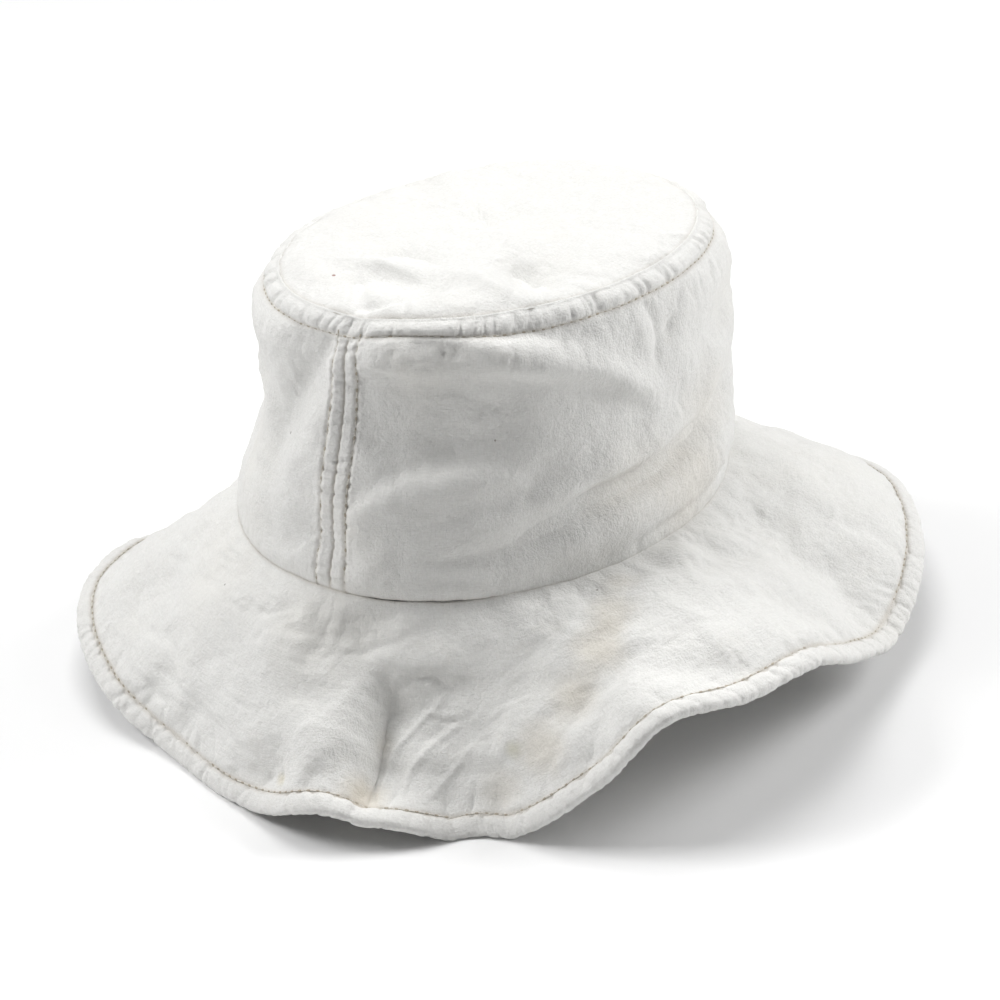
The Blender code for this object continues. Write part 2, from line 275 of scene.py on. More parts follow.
def simulated(name, grid, grow):
    """The grid after Cloth has grown it between its first and last row."""
    tall, wide = grid.shape[:2]
    i, j = np.meshgrid(np.arange(tall - 1), np.arange(wide), indexing="ij")
    i, j = i.ravel(), j.ravel()
    on = (j + 1) % wide
    quads = np.stack([i * wide + j, i * wide + on, (i + 1) * wide + on, (i + 1) * wide + j], -1)
    mesh = bpy.data.meshes.new(name)
    mesh.from_pydata(grid.reshape(-1, 3).tolist(), [], quads.tolist())
    item = placed(name, mesh)
    sewn = item.vertex_groups.new(name="sewn")
    sewn.add(list(range(wide)) + list(range((tall - 1) * wide, tall * wide)), 1.0, "REPLACE")
    cloth = item.modifiers.new("cloth", "CLOTH")
    cloth.collision_settings.use_collision = False
    cloth.point_cache.frame_start, cloth.point_cache.frame_end = 1, SIMULATED_FRAMES
    feel = cloth.settings
    feel.quality, feel.mass = 5, 0.1
    feel.tension_stiffness = feel.compression_stiffness = 12
    feel.shear_stiffness, feel.bending_stiffness = 4, BENDING
    feel.air_damping = 2.0
    feel.vertex_group_mass = "sewn"
    feel.shrink_min = feel.shrink_max = -grow
    feel.effector_weights.gravity = 0
    for frame_number in range(1, SIMULATED_FRAMES + 1):
        bpy.context.scene.frame_set(frame_number)
    seen = item.evaluated_get(bpy.context.evaluated_depsgraph_get())
    moved = np.array([vert.co for vert in seen.to_mesh().vertices]).reshape(tall, wide, 3)
    bpy.data.objects.remove(item)
    bpy.data.meshes.remove(mesh)
    bpy.context.scene.frame_set(1)
    return moved


def buckled(name, core, columns, share, tall, wide, grow, cap, seed):
    """How far each point of core moves when its cloth buckles between its seams.
    columns are bearings, share is each row's height, and tall and wide count the
    rows and columns of the coarse grid."""
    turn = (columns - SIDE_SEAM) / 360
    i = np.round(np.linspace(0, len(core) - 1, tall)).astype(int)
    j = np.searchsorted(turn, turn[0] + np.arange(wide) / wide)
    start = core[i][:, j]
    place = np.arange(tall)[:, None] + 0.0 * np.arange(wide)
    bump = billow(np.arange(wide)[None, :] / 4 + 0.0 * place, place / 4, wide // 4, seed)
    uneven = start + slopes(start) * (0.7 * MM * bump * np.sin(np.pi * place / (tall - 1)))[..., None]
    move = simulated(name, uneven, grow) - start
    length = np.linalg.norm(move, axis=-1, keepdims=True)
    move *= cap * np.tanh(length / cap) / (length + 1e-12)
    rows = nearness(share, share[i], 0.6 / tall)
    across = nearness(turn, turn[j], 0.6 / wide, 1.0)
    print(f"{name}: buckles of {length.mean() / MM:.2f} mm on average, {length.max() / MM:.1f} mm at most")
    return np.einsum("ai,ijk,bj->abk", rows, move, across)


# %% Making a mesh from rings of points
def slopes(rings):
    """Unit vectors square to a grid of rings, outwards for rings that climb."""
    along = np.roll(rings, -1, 1) - np.roll(rings, 1, 1)
    climb = np.gradient(rings, axis=0)
    square = np.cross(along, climb)
    return square / (np.linalg.norm(square, axis=-1, keepdims=True) + 1e-15)


def thinned(count, kept):
    """Some of the rows of an outer face, from last to first, for its lining."""
    return np.linspace(0, count - 1, kept).astype(int)[::-1]


# How far beside the outer face the lining lies on the cut cloth.
LINING_ASIDE = 0.2


def cut_cloth(wide, tall):
    """Places on the cut cloth, from the places of its columns and its rows."""
    return np.stack(np.broadcast_arrays(wide[None, :], tall[:, None]), -1)


def woven(name, rings, flat, dirt_and_shade, open_ends=False):
    """A closed mesh of quads over rings of points. flat is each point's place on
    the cut cloth in metres, with one column more than rings, for the UV map, and
    soil is each point's brown dirt and painted groove shade. Open ends are closed with one face each."""
    tall, wide = rings.shape[:2]
    points = rings.reshape(-1, 3)
    i, j = np.meshgrid(np.arange(tall - 1 if open_ends else tall), np.arange(wide), indexing="ij")
    i, j = i.ravel(), j.ravel()
    up, on = (i + 1) % tall, (j + 1) % wide
    quads = np.stack([i * wide + j, i * wide + on, up * wide + on, up * wide + j], -1)
    seams = np.stack([flat[i, j], flat[i, j + 1], flat[up, j + 1], flat[up, j]], 1)
    mesh = bpy.data.meshes.new(name)
    mesh.from_pydata(points.tolist(), [], quads.tolist())
    layer = mesh.uv_layers.new(name="cloth")
    layer.data.foreach_set("uv", seams.reshape(-1, 2).astype(np.float32).ravel())
    # The mark: brown dirt and painted shade in the seam grooves.
    spread = mesh.attributes.new("dirt_and_shade", "FLOAT", "POINT")
    spread.data.foreach_set("value", dirt_and_shade.astype(np.float32).ravel())
    work = bmesh.new()
    work.from_mesh(mesh)
    if open_ends:
        work.verts.ensure_lookup_table()
        for ring in (0, tall - 1):
            loop = [work.verts[ring * wide + k] for k in range(wide)]
            bmesh.ops.contextual_create(work, geom=loop)
    bmesh.ops.recalc_face_normals(work, faces=work.faces)
    work.to_mesh(mesh)
    work.free()
    mesh.shade_smooth()
    item = placed(name, mesh)
    count = sum(len(face.vertices) - 2 for face in mesh.polygons)
    print(f"{name}: {count} triangles")
    return item


def spot(grid, bearing, share, bearings, shares):
    """The point of a grid at a bearing and a share of its height."""
    i = np.interp(share, shares, np.arange(len(shares)))
    first = bearings[0]
    here = np.mod(np.asarray(bearing, float) - first, 360.0) + first
    j = np.interp(here, closed(bearings), np.arange(len(bearings) + 1))
    i0 = np.minimum(i.astype(int) if np.ndim(i) else int(i), len(shares) - 2)
    j0 = np.asarray(j).astype(int)
    a, b = i - i0, j - j0
    a, b = np.asarray(a)[..., None], np.asarray(b)[..., None]
    j0, j1 = j0 % len(bearings), (j0 + 1) % len(bearings)
    low = grid[i0, j0] * (1 - b) + grid[i0, j1] * b
    high = grid[i0 + 1, j0] * (1 - b) + grid[i0 + 1, j1] * b
    return low * (1 - a) + high * a


# %% [markdown]
# ## The side panel
#
# The side panel is one padded strip wrapped round the head. Its top edge is a
# thick roll, where the seam allowance lies turned down inside and is stitched
# through. Where the panel's ends meet, two ridges run down the crown, each
# held by its own row of stitches. A single mesh carries all of it: the middle
# of the cloth is worked out first, then the two faces stand off from it.

# %% The side panel's folds
PUFF = 6 * MM
PUFFS = (
    # name, bearing, height, depth, along, up, climb
    ("right flank, full", 240, 0.56, 0.50, 42, 0.28, 0.0),
    ("left flank, sunk", 48, 0.43, -1.15, 28, 0.26, 0.0),
    ("left, under the roll", 52, 0.86, 0.35, 30, 0.09, 0.0),
    ("right, under the roll", 228, 0.84, 0.30, 30, 0.10, 0.0),
    ("left slanting fold", 84, 0.62, -0.45, 7, 0.26, 0.02),
    ("puff under the roll", 135, 0.86, 0.30, 30, 0.07, -0.001),
    ("front hollow", 121, 0.57, -0.85, 24, 0.17, -0.0015),
    ("front pleat", 122, 0.43, 0.30, 22, 0.06, 0.0035),
    ("under the pleat", 124, 0.31, -0.25, 20, 0.06, 0.0035),
    ("lower belly", 178, 0.16, 0.35, 28, 0.08, 0.001),
    ("crease above the belly", 172, 0.30, -0.30, 26, 0.05, 0.001),
    ("pinch under the roll", 185, 0.80, -0.25, 4, 0.08, 0.0),
)
# kind, height in mm, width in mm, and the fold's line as bearing, share
SIDE_FOLDS = (
    ("crease", 3.6, 7.5, (
        (104, 1.04), (98, 0.97), (93, 0.885), (88, 0.775), (82, 0.65), (78, 0.517), (76, 0.367),
        (76, 0.24),
    )),
    ("crease", 1.6, 3.0, ((110, 0.935), (118, 0.915), (124, 0.89), (132, 0.86))),
    ("crease", 0.8, 1.6, ((101, 0.93), (107, 0.885), (113, 0.86), (120, 0.85))),
    ("crease", 0.7, 1.4, ((100, 0.88), (105, 0.84), (111, 0.81))),
    ("ridge", 2.6, 5.0, ((98, 0.85), (105, 0.86), (111, 0.87), (116, 0.89))),
    ("ridge", 5.0, 5.5, (
        (122, 0.905), (129, 0.89), (138, 0.86), (148, 0.81), (160, 0.745), (172, 0.63),
        (181, 0.53),
    )),
    ("ledge", 2.4, 6.0, (
        (98, 0.27), (102, 0.34), (107, 0.40), (114, 0.45), (122, 0.47), (132, 0.465),
        (142, 0.44),
    )),
    ("crease", 0.6, 1.6, ((86, 0.40), (90, 0.45), (95, 0.49))),
    ("crease", 1.4, 2.4, ((175, 0.93), (179, 0.84), (180, 0.77), (178, 0.68))),
    ("crease", 1.0, 2.0, ((180, 0.77), (184, 0.78), (189, 0.83))),
    ("ridge", 1.0, 4.0, ((170, 0.90), (174, 0.82), (174, 0.74))),
    ("crease", 5.6, 5.4, (
        (113, 0.142), (123, 0.15), (134, 0.167), (145, 0.217), (159, 0.283), (176, 0.292),
        (192, 0.333), (208, 0.395), (228, 0.46),
    )),
    ("ridge", 1.8, 5.0, ((138, 0.10), (152, 0.17), (168, 0.21), (184, 0.22), (204, 0.28))),
    ("crease", 1.6, 2.8, (
        (150, 0.035), (166, 0.048), (180, 0.058), (196, 0.067), (210, 0.075), (224, 0.08),
    )),
    ("crease", 0.6, 3.0, ((196, 0.68), (209, 0.64), (221, 0.62))),
    ("crease", 0.4, 1.8, ((152, 0.57), (166, 0.59), (180, 0.57))),
    ("crease", 0.4, 1.4, ((112, 0.20), (121, 0.24), (131, 0.22))),
    ("ridge", 0.5, 2.5, ((62, 0.30), (70, 0.36), (80, 0.34))),
    ("crease", 0.8, 2.4, ((228, 0.30), (250, 0.36), (272, 0.33))),
    ("crease", 0.9, 2.6, ((285, 0.72), (306, 0.62), (330, 0.60))),
    ("step", 0.9, 2.4, ((-8, 0.20), (4, 0.34), (18, 0.42))),
    ("crease", 0.7, 2.0, ((20, 0.78), (34, 0.72), (50, 0.74))),
)

# %% The side panel's columns and rows
SIDE_COLUMNS, SIDE_ROWS, SIDE_LINING_ROWS = 660, 104, 22


def side_columns():
    """Bearings of the columns, closer together beside the double seam."""
    fine = np.linspace(-180, 180, 7201)
    reach = reach_of(1 + 1.8 * np.exp(-((fine / 7.5) ** 4)))
    wanted = np.arange(SIDE_COLUMNS) / SIDE_COLUMNS * reach[-1]
    return SIDE_SEAM + np.interp(wanted, reach, fine)


def side_shares():
    """Heights of the rows as shares of the crown, closer together at the roll."""
    fine = np.linspace(0, 1, 4001)
    reach = reach_of(1 + 1.4 * hump(fine - 0.96, 0.07) + 0.8 * hump(fine, 0.03))
    return np.interp(np.linspace(0, reach[-1], SIDE_ROWS), reach, fine)


def roll_tall(bearing):
    """The roll's height: it is pulled thin just right of the double seam."""
    thin = 0.30 * hump(turned(bearing, 113), 17)
    return ROLL_HEIGHT * (0.86 - thin + 0.04 * np.cos(np.radians(3 * bearing)))


def corner_dip(bearing):
    """The top seam dips to a corner where the double seam meets it."""
    return 1.3 * MM * np.exp(-np.abs(turned(bearing, 99)) / 5)


def side_middle(bearing, share):
    """The middle of the side panel's cloth, before seams and creases."""
    foot = oval(SEAM_LONG, SEAM_SHORT, -CLOTH / 2, bearing)
    head = oval(TOP_LONG, TOP_SHORT, CLOTH / 2 + GAP, bearing)
    out = 0.0
    for _, at, height, depth, along, up, climb in PUFFS:
        away = turned(bearing, at)
        off = (share - height - climb * away) / up
        out = out + depth * np.exp(-((away / along) ** 2) - off**2)
    held = np.clip(share / 0.12, 0, 1) * np.clip((1 - share) / 0.08, 0, 1)
    radius = head + (foot - head) * (1 - np.clip(share, 0, 1) ** BARREL) + PUFF * out * held
    cos, sin = np.cos(np.radians(bearing)), np.sin(np.radians(bearing))
    low = SEAM_TILT[0] * foot * cos + SEAM_TILT[1] * foot * sin - GAP
    high = CROWN_HEIGHT + TOP_TILT[0] * head * cos + TOP_TILT[1] * head * sin - corner_dip(bearing)
    x = TOP_SHIFT[0] * share + radius * cos
    y = TOP_SHIFT[1] * share + radius * sin
    return np.stack(np.broadcast_arrays(x, y, low + (high - low) * share), -1)


def ridge_wide(share):
    """How far each stitched row of the double seam is from the seam's middle."""
    return 4.4 * MM + 0.9 * MM * (1 - share)


def swell(drop):
    """How full the roll is: 0 at the top seam, 1 in its middle, 0 at its stitches."""
    return np.clip(np.sin(np.pi * np.clip(drop, 0, 1)), 0, 1) ** 0.62


def roll_section(drop):
    """How far the roll stands out: it curls in to the top seam like a tube."""
    places = (0, 0.05, 0.13, 0.26, 0.45, 0.65, 0.82, 0.94, 1.03, 1.14, 1.30, 1.7, 2.6, 4.5)
    stands = (-1.9, -1.4, -0.8, 0.0, 0.8, 1.2, 1.0, 0.45, 0.1, 0.45, 0.9, 1.3, 1.3, 0.0)
    return np.interp(drop, places, stands) * MM


# %% Folds of the side panel
SIDE_RADIUS = 0.089
bearings = side_columns()
shares = side_shares()
B, H = np.meshgrid(bearings, shares)
turn = (B - SIDE_SEAM) / 360.0
along = np.radians(B) * SIDE_RADIUS
up = H * CROWN_HEIGHT
girth = 2 * math.pi * SIDE_RADIUS


def side_place(line):
    """The panel unrolled from the middle of a line, and the line's points."""
    points = [(np.radians(b) * SIDE_RADIUS, h * CROWN_HEIGHT) for b, h in line]
    middle = sum(point[0] for point in points) / len(points)
    return (along - middle + girth / 2) % girth - girth / 2 + middle, up, points


relief = drawn(SIDE_FOLDS, side_place)
quiet = 0.55 + 0.9 * np.clip(billow(turn * 9, H * 2.4, 9, 31), -0.4, 1)
relief += 1.3 * MM * billow(turn * 13, H * 3.2, 13, 2) + 0.8 * MM * billow(turn * 29, H * 6.5, 29, 4)
relief += 0.9 * MM * crumple(turn, up, girth, 26 * MM, 1.5, 3) * quiet
relief += 0.70 * MM * crumple(turn, up, girth, 9 * MM, 1.3, 11) * quiet
relief += 0.24 * MM * crumple(turn, up, girth, 3.4 * MM, 1.2, 17)
print("side panel's folds in mm:", np.round([relief.min() / MM, relief.max() / MM], 1))

# %% The double seam's ridges and its rows of stitches
PADDED_SEAM = 6 * MM
drop = (1 - H) * CROWN_HEIGHT / roll_tall(B)
beside = turned(B, SIDE_SEAM) * math.pi / 180 * oval(TOP_LONG, TOP_SHORT, PADDED_SEAM, B)
ridge_half = ridge_wide(H)
inside = np.clip(1 - ((np.abs(beside) - ridge_half / 2) / (ridge_half / 2)) ** 2, 0, 1) ** 0.6
ridge = 0.55 * MM * inside * (np.abs(beside) < ridge_half)
ridge -= 0.5 * MM * groove(beside, 0.5 * MM)
to_row = (np.abs(beside) - ridge_half) / (0.7 * MM)
held_down = 0.62 + 0.38 * np.cos(2 * math.pi * up / PITCH)
ridge -= 0.38 * MM * held_down * np.exp(-np.abs(to_row) ** 1.5)
bead = 0.5 - 0.5 * np.cos(2 * math.pi * up / PITCH)
ridge += 0.45 * MM * bead * hump(np.abs(to_row) - 1.9, 1.3)
ripple = puckers(up, beside, 0.2, (2.8, 4.6), 0.8, 1.3, 0.4, 5)
ridge += ripple * np.exp(-((np.abs(beside) / (ridge_half * 1.15)) ** 6))
pull = puckers(up, beside, 0.2, (5, 11), 1.2, 0.7, 0.6, 6)
ridge += pull * hump(np.abs(beside) - ridge_half, 5 * MM) * (np.abs(beside) > ridge_half)
flat_seam = np.exp(-((beside / (ridge_half * 1.6)) ** 4))
below = np.clip((drop - 1.0) / 0.3, 0, 1)
relief = relief * (1 - 0.8 * flat_seam) + ridge * below
print("seam to stitched rows in mm:", np.round([ridge_half.min() / MM, ridge_half.max() / MM], 1))

# %% The roll under the top seam, and the tuck at the brim
ROLL_STITCHES = 1.03
lap = np.clip(1 - np.abs(beside) / (ridge_half * 1.5), 0, 1)
roll = roll_section(drop) - 1.2 * MM * swell(drop) * lap
roll += puckers(along, up, girth, (2.6, 7.5), 0.9, 1.5, 0.4, 7) * swell(drop)
roll += puckers(along, up, girth, (16, 40), 1.5, 1.6, 0.3, 27) * swell(drop)
roll += 0.5 * MM * crumple(turn, up, girth, 5 * MM, 1.0, 23) * swell(drop)
dip = 0.75 + 0.25 * np.cos(2 * math.pi * along / PITCH)
stitched = 0.32 * MM * dip * groove((drop - ROLL_STITCHES) * ROLL_HEIGHT, 0.7 * MM)
under = hump(drop - 1.9, 0.8) * (drop > 1)
gathers = puckers(along, up, girth, (4, 12), 1.5, 0.8, 0.5, 8)
relief = relief * np.clip((drop - 0.95) / 0.5, 0.1, 1)
relief += roll - stitched + gathers * under * np.clip(drop - 1, 0, 1)
tuck = 0.25 * MM * np.exp(-up / (1.2 * MM))
relief = relief * np.clip(up / (6 * MM), 0, 1) - tuck
gathers = puckers(along, up, girth, (5, 14), 1.6, 0.5, 0.6, 9)
relief += gathers * hump(up - 3 * MM, 5 * MM)
print("side panel relief in mm:", np.round([relief.min() / MM, relief.max() / MM], 1))

# %% The side panel's outer face
core = side_middle(B, H)
core = core + buckled("side panel", core, bearings, shares, 32, 180, 0.016, 2.0 * MM, 101)
side_normal = slopes(core)
side_out = core + side_normal * (CLOTH / 2 + relief)[..., None] + MIDDLE
side_square = slopes(side_out)

# %% The side panel's mesh
rows = thinned(SIDE_ROWS, SIDE_LINING_ROWS)
lining = core - side_normal * CLOTH / 2 + MIDDLE
lining = lining + side_normal * (0.5 * np.minimum(relief, 0))[..., None]
rim = []
for k in (1, 2):
    lean = math.pi * k / 3
    mid = (side_out[-1] + lining[-1]) / 2
    half = (side_out[-1] - lining[-1]) / 2
    rim.append(mid + half * math.cos(lean) + np.array([0, 0, 1.0]) * CLOTH / 2 * math.sin(lean) * 0.7)
rings = np.concatenate([side_out, np.array(rim), lining[rows]])
tall = np.concatenate([up[:, 0], up[-1:, 0] + 1 * MM, up[-1:, 0] + 2 * MM, LINING_ASIDE - up[rows, 0]])
flat = cut_cloth(np.radians(closed(bearings) - SIDE_SEAM) * SIDE_RADIUS, tall)

# Brown dirt and painted shade in the grooves: beside the double seam's stitched rows and down its middle,
# along the roll's stitches, and along the foot where the panel meets the brim.
seam_dirt_and_shade = 0.6 * hump(np.abs(beside) - ridge_half, 0.8 * MM) + hump(beside, 0.5 * MM)
roll_dirt_and_shade = 0.7 * hump((drop - ROLL_STITCHES) * ROLL_HEIGHT, 1.0 * MM)
dirt_and_shade = np.clip(seam_dirt_and_shade * below + roll_dirt_and_shade, 0, 1)
dirt_and_shade = np.clip(dirt_and_shade + 0.9 * hump(up, 0.7 * MM), 0, 1)
dirt_and_shade = np.concatenate([dirt_and_shade, np.zeros((len(rings) - SIDE_ROWS, SIDE_COLUMNS))])
crown_side = woven("crown_side_cotton", rings, flat, dirt_and_shade)

# %% [markdown]
# ## The top panel
#
# The top is one flat oval of padded cotton, a little domed, with a dimple near
# the double seam and a few soft wrinkles. Its edge turns down into the seam,
# which is why the roll seems to lie beside it with a dark line between them;
# brown dirt and painted shade darken that line as well.

# %% The top panel's dents and wrinkles
TOP_DENT = 3 * MM
TOP_DENTS = (
    # name, x, y, depth, along x, along y
    ("front dimple", -0.63, 0.32, -2.7, 0.15, 0.14),
    ("left wrinkle", -0.16, 0.66, -1.3, 0.34, 0.14),
    ("front, by the double seam", -0.34, 0.80, -0.9, 0.16, 0.12),
    ("soft middle", 0.10, -0.10, -0.5, 0.60, 0.60),
)
# kind, height in mm, width in mm, and the line as bearing, share of the way out
TOP_FOLDS = (
    ("crease", 3.0, 3.6, ((154, 0.92), (150, 0.76), (144, 0.60), (138, 0.46))),
    ("ridge", 2.4, 4.0, ((138, 0.92), (130, 0.78), (124, 0.62))),
    ("crease", 3.0, 3.4, ((66, 0.64), (76, 0.50), (92, 0.46), (107, 0.50))),
    ("ridge", 2.6, 3.8, ((66, 0.76), (80, 0.62), (92, 0.58), (106, 0.62))),
    ("crease", 2.6, 2.8, ((80, 0.72), (88, 0.80), (96, 0.93), (106, 0.91))),
    ("crease", 2.0, 2.6, ((99, 0.96), (106, 0.82), (114, 0.72), (118, 0.60))),
    ("ridge", 1.0, 3.0, ((112, 0.92), (120, 0.84), (130, 0.80))),
    ("crease", 0.6, 3.0, ((248, 0.57), (226, 0.40), (200, 0.60))),
    ("crease", 0.5, 2.6, ((232, 0.74), (216, 0.66), (200, 0.62))),
    ("crease", 0.6, 3.0, ((300, 0.70), (330, 0.52), (10, 0.60))),
)

# %% The top panel's surface
TOP_COLUMNS, TOP_ROWS, TOP_LINING_ROWS = 520, 62, 12
top_bearings = SIDE_SEAM + np.arange(TOP_COLUMNS) * 360.0 / TOP_COLUMNS
top_shares = np.linspace(0.012, 1, TOP_ROWS) ** 0.92
B, H = np.meshgrid(top_bearings, top_shares)
radius = oval(TOP_LONG, TOP_SHORT, 1.0 * MM, B) * H
x, y = radius * np.cos(np.radians(B)), radius * np.sin(np.radians(B))
lift = TOP_DOME * (1 - H**2) - CLOTH / 4 - corner_dip(B) * np.clip((H - 0.8) / 0.2, 0, 1)
for _, at_x, at_y, depth, wide_x, wide_y in TOP_DENTS:
    off_x = (x - at_x * TOP_SHORT / 2) / (wide_x * TOP_SHORT / 2)
    off_y = (y - at_y * TOP_LONG / 2) / (wide_y * TOP_SHORT / 2)
    lift = lift + TOP_DENT * depth * np.exp(-(off_x**2) - off_y**2) * (1 - H**4)
high = CROWN_HEIGHT + TOP_TILT[0] * x + TOP_TILT[1] * y + lift
core = np.stack([TOP_SHIFT[0] + x, TOP_SHIFT[1] + y, high], -1)
print("top panel lift in mm:", np.round([lift.min() / MM, lift.max() / MM], 1))

# %% Folds and gathers of the top panel
PATCH = 0.4
TOP_RADIUS = 0.076


def top_place(line):
    """The top's own flat places, and the line's points."""
    points = []
    for bearing, share in line:
        far = oval(TOP_LONG, TOP_SHORT, 0, bearing) * share
        points.append((far * math.cos(math.radians(bearing)), far * math.sin(math.radians(bearing))))
    return x, y, points


relief = drawn(TOP_FOLDS, top_place)
patch = (x + PATCH / 2) / PATCH
quiet = 0.5 + 0.9 * np.clip(billow(patch * 12, y / 0.03, 12, 41), -0.3, 1)
relief += 1.3 * MM * billow(patch * 11, y / 0.030, 11, 42) + 0.8 * MM * billow(patch * 24, y / 0.014, 24, 44)
relief += 1.3 * MM * crumple(patch, y, PATCH, 24 * MM, 1.3, 43) * quiet
relief += 0.7 * MM * crumple(patch, y, PATCH, 8 * MM, 1.2, 47) * quiet
relief += 0.09 * MM * crumple(patch, y, PATCH, 3.2 * MM, 1.0, 53)
rim = (1 - H) * 75 * MM
edge_way = np.radians(B) * TOP_RADIUS
gathers = puckers(edge_way, rim, 2 * math.pi * TOP_RADIUS, (4, 11), 1.4, 0.9, 0.6, 12)
relief = relief * np.clip(rim / (5 * MM), 0.1, 1) + gathers * hump(rim - 3 * MM, 5 * MM)
relief -= 1.1 * MM * np.exp(-rim / (1.3 * MM))
print("top panel relief in mm:", np.round([relief.min() / MM, relief.max() / MM], 1))

# %% The top panel's mesh
core = core + buckled("top panel", core, top_bearings, top_shares, 22, 128, 0.016, 2.0 * MM, 103)
square = -slopes(core)
top_out = core + square * (CLOTH / 2 + relief)[..., None] + MIDDLE
lining = core - square * CLOTH / 2 + MIDDLE
rows = thinned(TOP_ROWS, TOP_LINING_ROWS)
rings = np.concatenate([top_out, lining[rows]])
flat = np.stack([x, y], -1)
flat = np.concatenate([flat, flat[rows] + 0.3])
flat = np.concatenate([flat, flat[:, :1]], 1)
# Brown dirt and painted shade in the line where the top's edge turns down into the seam.
dirt_and_shade = np.concatenate([hump(rim, 1.4 * MM), np.zeros((len(rows), TOP_COLUMNS))])
crown_top = woven("crown_top_cotton", rings, flat, dirt_and_shade, open_ends=True)

# %% [markdown]
# ## The brim
#
# The brim is cut as a flat ring, but it is limp, so it lies in folds: it leaves
# the seam at one slope and reaches its edge at another, and the slopes change
# round the hat. Walking outwards from the seam in small steps, and turning from
# the first slope to the second, gives cloth that keeps its width, which moving
# points up and down would not. The lowest folds press flat on the table.

# %% The folds of the brim
FOLDS = (
    # name, bearing, fall at seam, fall at edge, lean, width
    ("left lobe, back end", 11, 47, 50, 0, 1.0),
    ("left shoulder", 29, 51, 21, 0, 1.02),
    ("left tip", 47, 31, 39, 2, 1.025),
    ("left front quarter", 63, 43, 42, -4, 1.01),
    ("left front, resting", 79, 46, 64, -18, 1.0),
    ("front lobe, left foot", 95, 43, 63, -14, 1.01),
    ("front valley", 110, 62, 17, -2, 0.955),
    ("front lobe, right foot", 125, 57, 49, 0, 1.03),
    ("arch, left spring", 139, 30, 29, -3, 0.985),
    ("arch, left haunch", 149, 14, 5, -9, 0.99),
    ("arch, crown", 161, 0, 21, -2, 1.01),
    ("arch, right haunch", 175, 0, 26, -1, 0.99),
    ("arch, right spring", 189, 10, 41, -2, 1.0),
    ("right front corner", 203, 30, 33, -4, 1.045),
    ("right edge", 217, 21, 33, -6, 1.015),
    ("right edge, upper", 235, 9, 43, -5, 0.98),
    ("right shoulder", 251, 36, 28, -5, 0.98),
    ("nape, resting", 269, 40, 55, -8, 1.0),
    ("nape, left", 289, 34, 50, -6, 1.0),
    ("far lift", 309, 29, 42, -6, 1.0),
    ("far side, resting", 329, 45, 57, -6, 1.0),
    ("far left", 351, 38, 50, -3, 1.0),
)
